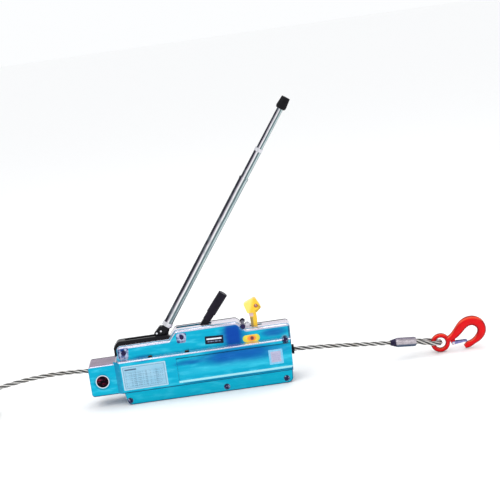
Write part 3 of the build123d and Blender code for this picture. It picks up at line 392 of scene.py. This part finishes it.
def tube_with_painted_reflections():
    """Plated steel tube with painted reflections: dark down its left edge, bright beside it, and dull teal on
    the right.
    """
    p = Paint("plated_tube", specular_ior_level=0.3)
    aside = Matrix.Rotation(HANDLE_LEAN, 3, "Y") @ Vector((1, 0, 0))
    facing = {0: p.coords.outputs["Normal"], 1: aside}
    dot = p.node("ShaderNodeVectorMath", facing, operation="DOT_PRODUCT")
    blotch = p.noise(24.0, 4.0)
    marks = p.noise(60.0, 4.0, (1, 1, 0.25))
    # Painted reflections: dark and bright bands across the tube, set by which way its surface faces.
    across = p.math("MULTIPLY", p.math("ADD", dot.outputs["Value"], 1.0), 0.5)
    across = p.math("ADD", across, p.math("MULTIPLY", p.math("SUBTRACT", blotch, 0.5), 0.10))
    tone = p.ramp(across, (0.0, colour(22, 22, 32)), (0.20, colour(44, 44, 56)),
                  (0.32, colour(176, 168, 178)), (0.42, colour(250, 248, 250)),
                  (0.50, colour(206, 212, 214)), (0.58, colour(58, 72, 78)),
                  (0.70, colour(104, 124, 128)), (0.84, colour(206, 222, 222)), (0.96, colour(70, 90, 98)))
    tone = p.mix(p.both(p.step(marks, 0.50, 0.72), 0.4), tone, colour(120, 136, 142))
    return p.finish(tone, p.blend(blotch, 0.22, 0.42), 0.9, p.noise(500.0, 3.0, (1, 1, 0.2)), 0.00004)


FERRULE_MOUTH = (0.5380, 0.5340)


def ferrule_finish():
    """Pressed aluminium with the press's faint flats, painted shade underneath, a darker painted reflection
    on top, and dark at its mouth, where the rope goes in.
    """
    p = Paint("pressed_aluminium")
    _, _, nz = p.normal()
    tone = p.mix(p.noise(90.0, 4.0, (1, 3, 3)), colour(138, 130, 138), colour(214, 206, 212))
    # Painted shade underneath.
    tone = p.mix(p.both(p.step(nz, 0.05, -0.50), 0.9), tone, colour(30, 66, 96))
    # A darker painted reflection on top.
    tone = p.mix(p.both(p.step(nz, 0.62, 0.90), 0.8), tone, colour(78, 70, 92))
    # Dark at its mouth, where the rope goes in.
    mouth_dark = p.mix(p.noise(220.0), colour(8, 6, 20), colour(60, 56, 84))
    tone = p.mix(p.step(p.x, *FERRULE_MOUTH), tone, mouth_dark)
    height = p.math("ADD", p.noise(70.0, 2.0, (1, 2, 2)), p.math("MULTIPLY", p.noise(600.0, 3.0), 0.1))
    return p.finish(tone, worn(p, 0.18, 0.32, 80.0), 0.95, height, 0.0004)


ANCHOR_AXIS = (-0.229, 0.0705)   # x and z
ANCHOR_RIM = (0.0148, 0.0160)    # from its axis
ANCHOR_HEAD_BACK = (-0.030, -0.020)


def anchor_finish():
    """Dark oxide face with deep red reflections, its rim rubbed bright."""
    p = Paint("anchor_oxide", specular_ior_level=0.2)
    aside = p.math("SUBTRACT", p.x, ANCHOR_AXIS[0])
    above = p.math("SUBTRACT", p.z, ANCHOR_AXIS[1])
    away = p.math("SQRT", p.math("ADD", p.math("MULTIPLY", aside, aside), p.math("MULTIPLY", above, above)))
    streaks = p.noise(70.0, 4.0, (1.0, 1.0, 2.6), 0.65)
    face = p.mix(p.step(streaks, 0.50, 0.68), colour(12, 5, 14), colour(120, 14, 44))
    face = p.mix(p.step(p.noise(150.0, 3.0), 0.62, 0.72), face, colour(160, 110, 140))
    rim = p.step(away, *ANCHOR_RIM)
    tone = p.mix(rim, face, colour(214, 216, 224))
    tone = p.mix(p.step(p.y, *ANCHOR_HEAD_BACK), tone, colour(168, 168, 176))
    return p.finish(tone, worn(p, 0.16, 0.34, 120.0), 0.85, p.noise(300.0, 3.0), 0.0001)


# ---- plastics, rubber and paint --------------------------------------------------------------------
def gloss_black():
    """Moulded shroud and painted arms: near black, rubbed a little grey."""
    p = Paint("gloss_black", specular_ior_level=0.14)
    tone = p.mix(p.noise(70.0, 5.0), colour(3, 3, 6), colour(22, 21, 28))
    return p.finish(tone, worn(p, 0.16, 0.34, 90.0), 0.0, p.noise(450.0, 3.0), 0.00008)


def black_rubber():
    """Matt rubber of the cap and the rope guides."""
    p = Paint("black_rubber", specular_ior_level=0.10)
    tone = p.mix(p.noise(110.0, 5.0), colour(5, 5, 7), colour(26, 26, 30))
    return p.finish(tone, worn(p, 0.45, 0.70, 90.0), 0.0, p.noise(900.0, 2.0), 0.00012)


def black_grip():
    """Moulded sleeve with a leathery grain."""
    p = Paint("black_grip", specular_ior_level=0.12)
    cells = p.node("ShaderNodeTexVoronoi", {"Vector": p.place, "Scale": 620.0}).outputs["Distance"]
    tone = p.mix(p.noise(80.0, 4.0), colour(6, 5, 10), colour(36, 30, 46))
    return p.finish(tone, worn(p, 0.28, 0.5, 120.0), 0.0, cells, 0.0004)


NECK = (0.1775, 0.1870)          # heights of the painted highlight on the thumb lever's neck
NECK_SIDE = (0.1790, 0.1755)
STALK_SHADE = (0.1765, 0.1735)
PADDLE_FOOT = 0.19               # where the paddle begins
PADDLE_LEAN = 0.35


def yellow_plastic():
    """Thumb lever: strong yellow, olive in blotches on its right part, with painted highlights on its pale
    side and on the left of its neck, over a shaded stalk.
    """
    p = Paint("yellow_plastic", coat_weight=0.3, coat_roughness=0.1)
    above = p.math("SUBTRACT", p.z, PADDLE_FOOT)
    leaning = p.math("SUBTRACT", p.x, p.math("MULTIPLY", above, PADDLE_LEAN))
    # Painted highlight on the paddle's pale side.
    pale_side_highlight = p.step(leaning, 0.1745, 0.1640)
    tone = p.mix(p.noise(60.0, 4.0), colour(220, 168, 0), colour(255, 214, 20))
    # Olive blotches on the right part.
    olive_blotches = p.both(p.step(p.noise(85.0, 4.0), 0.52, 0.66), p.step(p.x, 0.176, 0.190))
    tone = p.mix(p.both(olive_blotches, 0.7), tone, colour(150, 116, 10))
    tone = p.mix(p.math("MULTIPLY", pale_side_highlight, 0.75), tone, colour(250, 232, 120))
    # Painted highlight on the left of the neck.
    neck = p.both(p.band(p.z, *NECK, 0.0020), p.step(p.x, *NECK_SIDE))
    tone = p.mix(neck, tone, colour(214, 184, 190))
    shaded = p.both(p.step(p.z, NECK[0], NECK[0] - 0.0035), p.step(p.x, *STALK_SHADE))
    tone = p.mix(shaded, tone, colour(150, 128, 60))
    return p.finish(tone, worn(p, 0.22, 0.40, 60.0), 0.0, p.noise(700.0, 2.0), 0.00006)


def orange_plastic():
    """Moulded bush of the thumb lever."""
    p = Paint("orange_plastic", coat_weight=0.3)
    tone = p.mix(p.noise(300.0, 3.0), colour(132, 36, 6), colour(206, 92, 8))
    return p.finish(tone, worn(p, 0.25, 0.4, 200.0), 0.0, p.noise(900.0, 2.0), 0.00005)


def hook_enamel():
    """Red enamel over a forging, chipped and pitted, with painted shade on its side faces and underneath and
    a painted highlight on its upper front edges.
    """
    p = Paint("hook_enamel", specular_ior_level=0.18)
    _, ny, nz = p.normal()
    flow = p.noise(38.0, 4.0, (1, 1, 1.4), 0.6)
    tone = p.mix(flow, colour(188, 0, 10), colour(238, 8, 14))
    # Painted shade on the faces that look sideways.
    edge = p.step(p.math("ABSOLUTE", ny), 0.97, 0.60)
    tone = p.mix(p.both(edge, p.blend(flow, 0.6, 1.0)), tone, colour(104, 0, 18))
    # Painted highlight on the upper front edges.
    painted_shine = p.both(p.band(nz, 0.45, 0.80, 0.12), p.step(ny, -0.2, -0.5), 0.6)
    tone = p.mix(painted_shine, tone, colour(255, 96, 60))
    # Painted shade underneath.
    tone = p.mix(p.both(p.step(nz, -0.2, -0.8), 0.55), tone, colour(110, 2, 20))
    chips = p.both(p.step(p.noise(170.0, 5.0, rough=0.7), 0.67, 0.70), p.step(p.noise(30.0), 0.50, 0.60))
    tone = p.mix(chips, tone, colour(120, 112, 120))
    height = p.math("ADD", p.noise(60.0, 3.0), p.math("MULTIPLY", p.noise(420.0), 0.12))
    rough = p.blend(chips, p.blend(flow, 0.16, 0.30), 0.5)
    return p.finish(tone, rough, p.math("MULTIPLY", chips, 0.8), height, 0.0006)


def latch_finish():
    """Blue-passivated sheet steel, rubbed bright in patches."""
    p = Paint("latch_steel", specular_ior_level=0.3)
    tone = p.mix(p.noise(140.0, 4.0), colour(52, 50, 120), colour(150, 152, 204))
    rubbed = p.step(p.noise(110.0, 3.0), 0.56, 0.68)
    tone = p.mix(rubbed, tone, colour(206, 208, 232))
    return p.finish(tone, worn(p, 0.2, 0.4, 150.0), 0.9, p.noise(600.0, 3.0), 0.00005)


# ---- labels ----------------------------------------------------------------------------------------
NAMEPLATE_COLUMNS = (0.034, 0.062, 0.088)  # from its left edge


def inset(p, low, high, left, bottom, right, top, soft):
    """1 inside a label's box, less a margin on each side."""
    return p.window((low.x + left, low.z + bottom), (high.x - right, high.z - top), soft)


def nameplate():
    """Pale printed plate: a bar for a heading, and short marks in ruled rows and columns."""
    p = Paint("nameplate_print", coat_weight=0.4, coat_roughness=0.12)
    low, high = (Vector(c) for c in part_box("nameplate"))
    tint = p.mix(p.noise(26.0, 3.0, (1, 1, 2)), colour(118, 180, 208), colour(160, 200, 222))
    ink = colour(58, 92, 122)
    inner = inset(p, low, high, *[0.004] * 4, 0.0001)
    within = inset(p, low, high, *[0.0048] * 4, 0.0001)
    frame_line = p.both(inner, p.math("SUBTRACT", 1.0, within))
    heading = p.both(p.band(p.z, high.z - 0.0125, high.z - 0.0085, 0.0002),
                     p.band(p.x, low.x + 0.008, low.x + 0.038, 0.0002))
    dashes = p.step(p.noise(430.0, 0.0, (1, 0, 0.02)), 0.44, 0.50)
    rows = p.both(p.stripes(p.math("SUBTRACT", p.z, low.z), 0.0048, 0.34),
                  inset(p, low, high, 0.008, 0.0075, 0.010, 0.017, 0.0003), dashes)
    rules = p.both(p.stripes(p.math("SUBTRACT", p.z, low.z - 0.0012), 0.0096, 0.045),
                   inset(p, low, high, 0.006, 0.006, 0.006, 0.015, 0.0002))
    lines = (p.band(p.x, low.x + c, low.x + c + 0.0005, 0.0001) for c in NAMEPLATE_COLUMNS)
    columns = p.both(p.either(*lines), p.band(p.z, low.z + 0.006, high.z - 0.015, 0.0002))
    print_on = p.either(p.math("MULTIPLY", frame_line, 0.8), heading, p.math("MULTIPLY", rows, 0.6),
                        p.math("MULTIPLY", rules, 0.8), p.math("MULTIPLY", columns, 0.8))
    tone = p.mix(print_on, tint, ink)
    lip = p.math("SUBTRACT", 1.0, inset(p, low, high, *[0.002] * 4, 0.0002))
    tone = p.mix(lip, tone, colour(176, 204, 220))
    return p.finish(tone, worn(p, 0.22, 0.36, 50.0), 0.25, p.noise(90.0, 3.0), 0.00008)


def load_label():
    """Square sticker: lilac-grey in a pale border."""
    p = Paint("load_label_print", coat_weight=0.4, coat_roughness=0.1)
    low, high = (Vector(c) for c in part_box("load_label"))
    inner = inset(p, low, high, *[0.005] * 4, 0.0006)
    film = p.mix(p.noise(120.0, 3.0), colour(158, 158, 190), colour(184, 182, 208))
    tone = p.mix(inner, colour(120, 192, 226), film)
    dashes = p.step(p.noise(380.0, 0.0, (1, 0, 0.02)), 0.46, 0.5)
    marks = p.both(p.stripes(p.math("SUBTRACT", p.z, low.z), 0.0052, 0.3), dashes,
                   inset(p, low, high, 0.008, 0.009, 0.008, 0.008, 0.0004))
    tone = p.mix(p.math("MULTIPLY", marks, 0.22), tone, colour(96, 98, 130))
    return p.finish(tone, worn(p, 0.2, 0.34, 80.0), 0.1, p.noise(200.0, 2.0), 0.00004)


PLATE_TILT = math.radians(2.0)   # the black plate's marks are a little aslant


def maker_plate():
    """Black plate with one pale bar and a row of faint marks under it."""
    p = Paint("maker_plate_print", specular_ior_level=0.2)
    low, high = (Vector(c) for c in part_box("maker_plate"))
    middle = (low + high) / 2
    dx = p.math("SUBTRACT", p.x, middle.x)
    dz = p.math("SUBTRACT", p.z, middle.z)
    level, steep = math.cos(PLATE_TILT), math.sin(PLATE_TILT)
    along = p.math("SUBTRACT", p.math("MULTIPLY", dx, level), p.math("MULTIPLY", dz, steep))
    up = p.math("ADD", p.math("MULTIPLY", dx, steep), p.math("MULTIPLY", dz, level))
    bar = p.both(p.band(along, -0.0195, 0.0190, 0.0005), p.band(up, 0.0012, 0.0050, 0.0004))
    marks = p.both(p.band(along, -0.0170, 0.0170, 0.0005), p.band(up, -0.0052, -0.0026, 0.0003),
                   p.step(p.noise(420.0, 0.0, (1, 0, 0)), 0.45, 0.52))
    tone = p.mix(p.noise(120.0, 4.0), colour(3, 5, 20), colour(12, 18, 44))
    tone = p.mix(bar, tone, p.mix(p.noise(160.0, 3.0), colour(214, 222, 236), colour(252, 252, 255)))
    tone = p.mix(p.math("MULTIPLY", marks, 0.7), tone, colour(150, 168, 206))
    return p.finish(tone, worn(p, 0.15, 0.3, 80.0), 0.1, p.noise(300.0, 2.0), 0.00004)


def oval_label():
    """Yellow oval with an orange ring and a dark red dot, greener at its ends."""
    p = Paint("oval_label_print", coat_weight=0.5, coat_roughness=0.08)
    low, high = (Vector(c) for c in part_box("oval_label"))
    middle = (low + high) / 2
    edge = p.step(p.math("ABSOLUTE", p.math("SUBTRACT", p.x, middle.x)), 0.010, 0.021)
    tone = p.mix(p.noise(90.0, 3.0), colour(240, 196, 20), colour(255, 226, 60))
    tone = p.mix(p.math("MULTIPLY", edge, 0.7), tone, colour(168, 204, 56))
    tone = p.mix(p.spot((middle.x + 0.001, middle.z), (0.0150, 0.0100)), tone, colour(246, 128, 10))
    tone = p.mix(p.spot((middle.x + 0.002, middle.z), (0.0058, 0.0068)), tone, colour(88, 4, 8))
    return p.finish(tone, worn(p, 0.18, 0.32, 90.0), 0.0, p.noise(300.0, 2.0), 0.00004)


# ---- rope ------------------------------------------------------------------------------------------
WIRES_ROUND = 44.0               # wires round the rope, which cross a line along it as often in a lay


def rope_finish():
    """Galvanised wires laid in strands, with painted shade between the wires and in the grooves, which are
    also duller.

    The UV map "along" runs along a rope in turns of its lay, and round it once.
    """
    p = Paint("wire_rope")
    wrap = p.node("ShaderNodeUVMap", uv_map="along").outputs[0]
    along, round_it, _ = p.parts(wrap)
    part = p.math("FRACT", p.math("ADD", p.math("MULTIPLY", round_it, STRANDS), 0.5))
    off = p.math("ABSOLUTE", p.math("SUBTRACT", part, 0.5))
    groove = p.step(off, 0.14, 0.33)
    wires = p.math("ADD", p.math("MULTIPLY", round_it, WIRES_ROUND), p.math("MULTIPLY", along, WIRES_ROUND))
    crest = p.math("ABSOLUTE", p.math("SINE", p.math("MULTIPLY", wires, math.pi)))
    tone = p.mix(p.noise(160.0, 4.0), colour(172, 170, 168), colour(244, 242, 238))
    tone = p.mix(p.both(p.step(p.noise(34.0, 3.0), 0.50, 0.66), 0.40), tone, colour(128, 116, 96))
    # Painted shade between the wires.
    tone = p.mix(p.math("MULTIPLY", p.step(crest, 0.50, 0.05), 0.40), tone, colour(46, 44, 48))
    # Painted shade in the grooves between strands.
    tone = p.mix(p.math("MULTIPLY", groove, 0.95), tone, colour(8, 8, 12))
    rough = p.blend(groove, p.blend(p.noise(90.0, 3.0), 0.24, 0.42), 0.6)
    return p.finish(tone, rough, p.blend(groove, 0.9, 0.3), crest, 0.00022)


CORE_LEVEL = 0.0804              # the straight rope's height at x = 0, and how it falls with x
CORE_SLOPE = -0.0468
BURNT_END = (-0.885, -0.905)     # over which the fused tip turns dark


def rope_core_finish():
    """The same rope where it runs straight: strands wind round the x axis."""
    p = Paint("wire_rope_straight")
    level = p.math("ADD", CORE_LEVEL, p.math("MULTIPLY", p.x, CORE_SLOPE))
    angle = p.math("ARCTAN2", p.math("SUBTRACT", p.z, level), p.y)
    turns = p.math("ADD", p.math("DIVIDE", angle, 2 * math.pi), p.math("DIVIDE", p.x, ROPE_LAY))
    off = p.math("ABSOLUTE", p.math("SUBTRACT", p.math("FRACT", p.math("MULTIPLY", turns, STRANDS)), 0.5))
    groove = p.step(off, 0.32, 0.46)
    burnt = p.step(p.x, *BURNT_END)
    tone = p.mix(p.noise(200.0, 4.0), colour(130, 128, 130), colour(206, 204, 206))
    tone = p.mix(burnt, tone, colour(58, 52, 60))
    # Painted shade in the grooves between strands.
    tone = p.mix(p.math("MULTIPLY", groove, 0.9), tone, colour(20, 18, 22))
    height = p.math("SUBTRACT", p.noise(500.0, 3.0), groove)
    return p.finish(tone, worn(p, 0.28, 0.5, 120.0), 0.85, height, 0.0003)


FRONT_ROUTE = [(0.26984, 0, 0.07408), (0.320, 0.0015, 0.0710), (0.395, 0.010, 0.0620),
               (0.468, 0.020, 0.0515), (0.536, 0.0258, 0.0438)]
TAIL_ROUTE = [(-0.26184, 0, 0.09264), (-0.315, 0, 0.0975), (-0.405, 0.0005, 0.0955),
              (-0.500, -0.0015, 0.0830), (-0.575, -0.0050, 0.0680), (-0.640, -0.0150, 0.0530),
              (-0.705, -0.0300, 0.0405), (-0.752, -0.0395, 0.0330)]

HANK_LOW, HANK_HIGH = (Vector(c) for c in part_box("rope_hank"))
HANK_NEAR = HANK_HIGH.x - HANK_HIGH.y    # where its runs end and its round ends begin
HANK_FAR = HANK_LOW.x + HANK_HIGH.y
HANK_TURNS = 10
HANK_COLUMNS = 4                 # turns beside each other
HANK_LAYERS = 3
END_R = 0.0762                   # middle line of the outermost turn where nothing ties the hank
TIED_R = 0.0750                  # and where a tie holds it
END_PITCH = 0.0124               # from turn to turn
TIED_PITCH = 0.01165
END_RISE = 0.0122                # from layer to layer
TIED_RISE = 0.0116
END_LIFT = 0.0004
TIED_LIFT = 0.0021               # the ties pass under the hank
TIP_RUN = 0.012                  # how far past the last turn the rope's last point but one lies
WOBBLE = 0.03                    # unevenness of the untied turns, in columns
END_POINTS = 6
RUN_POINTS = 4
SECTIONS = ("far end", "rear run", "near end", "front run")


def hank_place(section, share, column, layer):
    """A control point of the hank: how far along a section, in which column from the outside and layer."""
    tied = 0.0 if section == "near end" else math.sin(math.pi * share)
    reach = (END_R - column * END_PITCH) * (1 - tied) + (TIED_R - column * TIED_PITCH) * tied
    z = ROPE_R + (END_LIFT + layer * END_RISE) * (1 - tied) + (TIED_LIFT + layer * TIED_RISE) * tied
    turn = math.pi * share
    out = reach / math.cos(math.pi / END_POINTS / 2)
    if section == "far end":
        return (HANK_FAR - out * math.sin(turn), -out * math.cos(turn), z)
    if section == "near end":
        return (HANK_NEAR + out * math.sin(turn), out * math.cos(turn), z)
    if section == "rear run":
        return (HANK_FAR + (HANK_NEAR - HANK_FAR) * share, reach, z)
    return (HANK_NEAR + (HANK_FAR - HANK_NEAR) * share, -reach, z)


def hank_turns():
    """The wound rope from the top layer's innermost turn down to its end, in even steps.

    It winds outwards, then inwards on the layer below, and outwards again. It moves to the next turn on
    the rear run when it winds outwards and on the front run when inwards, and goes down a layer at an end.
    """
    column, layer, outwards = HANK_COLUMNS - 1, HANK_LAYERS - 1, True
    points = []
    for count in range(len(SECTIONS) * HANK_TURNS):
        section = SECTIONS[count % len(SECTIONS)]
        down = aside = 0
        if section == "far end" and outwards and column == 0 and layer > 0:
            down, outwards = 1, False
        elif section == "near end" and not outwards and column == HANK_COLUMNS - 1:
            down, outwards = 1, True
        elif section == "rear run" and outwards and column > 0:
            aside = -1
        elif section == "front run" and not outwards and column < HANK_COLUMNS - 1:
            aside = 1
        steps = RUN_POINTS if "run" in section else END_POINTS
        for step in range(steps):
            share = (step + 0.5) / steps
            ease = share * share * (3 - 2 * share)
            loose = 1.0 if section == "near end" else 1 - math.sin(math.pi * share)
            wobble = WOBBLE * loose * math.sin(2.3 * count + 1.1 * step)
            points.append(hank_place(section, share, column + aside * ease + wobble, layer - down * ease))
        column += aside
        layer -= down
    return points


def rope_end():
    """Two last points: straight on along the front, to the fused tip."""
    tip_low, tip_high = (Vector(c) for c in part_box("rope_tip"))
    y = (tip_low.y + tip_high.y) / 2
    return [(HANK_FAR - TIP_RUN, -END_R, ROPE_R + END_LIFT), (tip_high.x, y, ROPE_R)]


def route_curve(name, points):
    """The centre line as an open NURBS curve."""
    data = bpy.data.curves.new(name, "CURVE")
    data.dimensions = "3D"
    spline = data.splines.new("NURBS")
    spline.points.add(len(points) - 1)
    for knot, point in zip(spline.points, points):
        knot.co = (*point, 1)
    spline.order_u = 3
    spline.use_endpoint_u = True
    spline.resolution_u = 12
    return bpy.data.objects.new(name, data)


def read_route(name, points):
    """Points along the smooth curve that a route's points control."""
    curve = route_curve(name, points)
    bpy.context.scene.collection.objects.link(curve)
    bpy.context.view_layer.update()
    mesh = bpy.data.meshes.new_from_object(curve)
    line = [v.co.copy() for v in mesh.vertices]
    bpy.data.objects.remove(curve)
    bpy.data.meshes.remove(mesh)
    return line


def evenly(points, step):
    """The same line with points a steady distance apart."""
    whole = line_length(points)
    count = max(2, round(whole / step))
    out = [points[0]]
    travel = 0.0
    for a, b in zip(points, points[1:]):
        run = (b - a).length
        while len(out) < count and whole * len(out) / count <= travel + run:
            out.append(a.lerp(b, (whole * len(out) / count - travel) / run))
        travel += run
    return out + [points[-1]]


def line_length(points):
    return sum((b - a).length for a, b in zip(points, points[1:]))


def strand_reach(angle):
    """Distance from the rope's middle to its surface, round its strands."""
    strand_r = ROPE_R / (1 + 1 / math.sin(math.pi / STRANDS))
    out = ROPE_R - strand_r
    part = 2 * math.pi / STRANDS
    off = (angle + part / 2) % part - part / 2
    inside = strand_r ** 2 - (out * math.sin(off)) ** 2
    return max(out * math.cos(off) + math.sqrt(max(inside, 0.0)), ROPE_R * CORE_SHARE)


def stranded_tube(name, line, sides, finish, *replaced):
    """A rope whose surface shows its strands, laid round a line of points, in place of CAD nodes."""
    builder = bmesh.new()
    wrap = builder.loops.layers.uv.new("along")
    side = (line[1] - line[0]).cross(Vector((0, 0, 1)))
    rings = []
    travels = []
    travel = 0.0
    for i, point in enumerate(line):
        heading = (line[min(i + 1, len(line) - 1)] - line[max(i - 1, 0)]).normalized()
        side = (side - heading * side.dot(heading)).normalized()
        over = heading.cross(side)
        if i:
            travel += (point - line[i - 1]).length
        travels.append(travel)
        ring = []
        for k in range(sides):
            angle = 2 * math.pi * k / sides
            turned = angle + 2 * math.pi * travel / ROPE_LAY
            reach = strand_reach(angle)
            outwards = side * math.cos(turned) + over * math.sin(turned)
            ring.append(builder.verts.new(point + outwards * reach))
        rings.append(ring)
    for i in range(len(rings) - 1):
        for k in range(sides):
            n = (k + 1) % sides
            face = builder.faces.new((rings[i][k], rings[i + 1][k], rings[i + 1][n], rings[i][n]))
            face.smooth = True
            places = ((travels[i], k), (travels[i + 1], k), (travels[i + 1], k + 1), (travels[i], k + 1))
            for loop, (u, v) in zip(face.loops, places):
                loop[wrap].uv = (u / ROPE_LAY, v / sides)
    builder.faces.new(rings[0])
    builder.faces.new(list(reversed(rings[-1])))
    bmesh.ops.recalc_face_normals(builder, faces=builder.faces)
    return add_piece(name, builder, finish, "wire_rope", *replaced)


def add_piece(name, builder, finish, slot, *replaced):
    """Turn mesh work into a piece of the casing's body, in place of CAD nodes."""
    mesh = bpy.data.meshes.new(name)
    builder.to_mesh(mesh)
    builder.free()
    piece = bpy.data.objects.new(name, mesh)
    bpy.context.scene.collection.objects.link(piece)
    mesh.materials.append(finish)
    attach(piece, "casing")
    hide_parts(*replaced)
    return piece


def make_ropes(finish):
    """The rope on the hook side, and the tail with the spare rope in its hank."""
    front_line = evenly(read_route("front_route", FRONT_ROUTE), FRONT_STEP)
    front = stranded_tube("rope_to_hook", front_line, FINE_SIDES, finish, "rope_front")
    tail_line = evenly(read_route("tail_route", TAIL_ROUTE + hank_turns() + rope_end()), TAIL_STEP)
    tail = stranded_tube("rope_tail_and_hank", tail_line, HANK_SIDES, finish, "rope_tail", "rope_hank")


# ---- rope's eye and the hank's ties ----------------------------------------------------------------
FERRULE_END = Vector((0.588, 0.030, 0.0383))
EYE_TIP = Vector((0.653, 0.030, 0.027))
EYE_R = 0.017                    # its crown's centre line
EYE_LEAN = math.radians(14.0)    # between a leg of the eye and its middle line
LEG_POINTS = 12
CROWN_POINTS = 40


def eye_line():
    """Centre line of the rope's eye: out of the ferrule, round the crown and back."""
    along = (EYE_TIP - FERRULE_END).normalized()
    across = (along.cross(Vector((0, 1, 0))) * -1).cross(along)
    centre = (EYE_TIP - FERRULE_END).length - EYE_R
    top = (centre - EYE_R * math.sin(EYE_LEAN), EYE_R * math.cos(EYE_LEAN))
    foot = top[1] - top[0] * math.tan(EYE_LEAN)
    leg = []
    for step in range(LEG_POINTS):
        share = step / LEG_POINTS
        leg.append((top[0] * share, foot + (top[1] - foot) * share))
    first = math.pi / 2 + EYE_LEAN
    crown = []
    for step in range(CROWN_POINTS + 1):
        angle = first - 2 * first * step / CROWN_POINTS
        crown.append((centre + EYE_R * math.cos(angle), EYE_R * math.sin(angle)))
    back = [(u, -v) for u, v in reversed(leg)]
    return [FERRULE_END + along * u + across * v for u, v in leg + crown + back]


def make_eye(finish):
    """The strands that go round the thimble."""
    stranded_tube("rope_eye_strands", evenly(eye_line(), EYE_STEP), FINE_SIDES, finish, "rope_eye")


def rounded_loop(low, high, corner, steps=6):
    """Points and outward directions round a rectangle with round corners, in two coordinates."""
    corners = [(high[0] - corner, low[1] + corner, -90), (high[0] - corner, high[1] - corner, 0),
               (low[0] + corner, high[1] - corner, 90), (low[0] + corner, low[1] + corner, 180)]
    out = []
    for a, b, start in corners:
        for step in range(steps + 1):
            angle = math.radians(start + 90 * step / steps)
            way = (math.cos(angle), math.sin(angle))
            out.append(((a + corner * way[0], b + corner * way[1]), way))
    return out


FRONT_TIE = 0.048                # from the hank's far round end to the tie on its front run
# A tie's strap is a cross-section of (along the hank, outwards) that runs round the bundle in (y, z).
STRAP = ((-0.0038, 0.0), (-0.0038, 0.0010), (-0.0031, 0.0015), (-0.0024, 0.0012), (0.0024, 0.0012),
         (0.0031, 0.0015), (0.0038, 0.0010), (0.0038, 0.0))
STRAP_INSIDE = ((0.0342, 0.0018), (0.0810, 0.0375))
STRAP_CORNER = 0.005
LOCK = ((-0.0045, 0.0600, 0.0388), (0.0045, 0.0720, 0.0443))
CUT_END = ((-0.0036, 0.0715, 0.0402), (0.0036, 0.0795, 0.0414))
LOCK_RIB = ((-0.0030, 0.0625, 0.0440), (0.0030, 0.0650, 0.0445))


def tie_mesh(place):
    """One tie: a ribbed strap round the bundle, its lock on top and the strap's cut end."""
    builder = bmesh.new()
    rings = []
    for (y, z), (dy, dz) in rounded_loop(*STRAP_INSIDE, STRAP_CORNER):
        rings.append([builder.verts.new((a, y + dy * out, z + dz * out)) for a, out in STRAP])
    for i, ring in enumerate(rings):
        after = rings[(i + 1) % len(rings)]
        for k in range(len(STRAP)):
            n = (k + 1) % len(STRAP)
            builder.faces.new((ring[k], ring[n], after[n], after[k]))
    for low, high in (LOCK, CUT_END, LOCK_RIB):
        soft_block(builder, low, high, 0.0003)
    bmesh.ops.recalc_face_normals(builder, faces=builder.faces)
    builder.transform(place)
    mesh = bpy.data.meshes.new("tie")
    builder.to_mesh(mesh)
    builder.free()
    return mesh


def soft_block(builder, low, high, round_off):
    """A box with bevelled edges between two corners."""
    size = [b - a for a, b in zip(low, high)]
    middle = [(a + b) / 2 for a, b in zip(low, high)]
    place = Matrix.Translation(middle) @ Matrix.Diagonal((*size, 1))
    made = bmesh.ops.create_cube(builder, size=1.0, matrix=place)
    edges = list({e for v in made["verts"] for e in v.link_edges})
    bmesh.ops.bevel(builder, geom=edges, offset=round_off, segments=2, profile=0.5, affect="EDGES")


def make_ties(finish):
    """Three ties: one on each run of the hank, and one round its far end."""
    builder = bmesh.new()
    for turn, spot in ((0, (HANK_NEAR + HANK_FAR) / 2), (180, HANK_FAR + FRONT_TIE), (90, HANK_FAR)):
        tie = tie_mesh(Matrix.Translation((spot, 0, 0)) @ Matrix.Rotation(math.radians(turn), 4, "Z"))
        builder.from_mesh(tie)
        bpy.data.meshes.remove(tie)
    add_piece("rope_hank_ties", builder, finish, "plastic_black", "rope_ties")


# ---- which node has which finish -------------------------------------------------------------------
def paint_nodes():
    """Give every shown CAD node its material."""
    finishes = {
        bright_steel(): ("shear_pins", "handle_collar", "handle_middle_ring", "rear_side_plates",
                         "rear_jaw_pins", "front_side_plates", "front_jaw_pins", "release_spindle",
                         "release_rod", "safety_catch", "catch_bracket", "catch_pin", "thimble",
                         "latch_pin"),
        dark_steel(): ("forward_crank", "reverse_crank", "rear_lower_jaw", "rear_upper_jaw",
                       "front_lower_jaw", "front_upper_jaw"),
        gloss_black(): ("lever_shroud", "forward_lever_arm", "reverse_lever_arm"),
        black_rubber(): ("hook_end_rope_guide", "anchor_end_rope_guide", "handle_cap"),
        bolt_steel(): ("casing_bolts", "casing_nuts"),
        casing_finish(): ("front_shell", "rear_shell"),
        tube_with_painted_reflections(): ("handle_lower_tube", "handle_middle_tube", "handle_upper_tube",
                        "handle_lower_ring"),
        spring_steel(): ("rear_return_spring", "front_return_spring", "anchor_clip"),
        bronze(): ("crank_bushes",),
        nameplate(): ("nameplate",),
        load_label(): ("load_label",),
        maker_plate(): ("maker_plate",),
        oval_label(): ("oval_label",),
        black_grip(): ("reverse_lever_sleeve",),
        yellow_plastic(): ("release_lever",),
        orange_plastic(): ("release_lever_bush",),
        anchor_finish(): ("anchor_pin",),
        rope_core_finish(): ("rope_inside", "rope_tip"),
        ferrule_finish(): ("ferrule",),
        hook_enamel(): ("hook",),
        latch_finish(): ("hook_latch",),
    }
    for finish, names in finishes.items():
        for name in names:
            mesh = NODES[name].data
            mesh.materials.clear()
            mesh.materials.append(finish)


look_camera()
studio()
wire_rope = rope_finish()
paint_nodes()
make_eye(wire_rope)
make_ties(black_grip())
make_ropes(wire_rope)
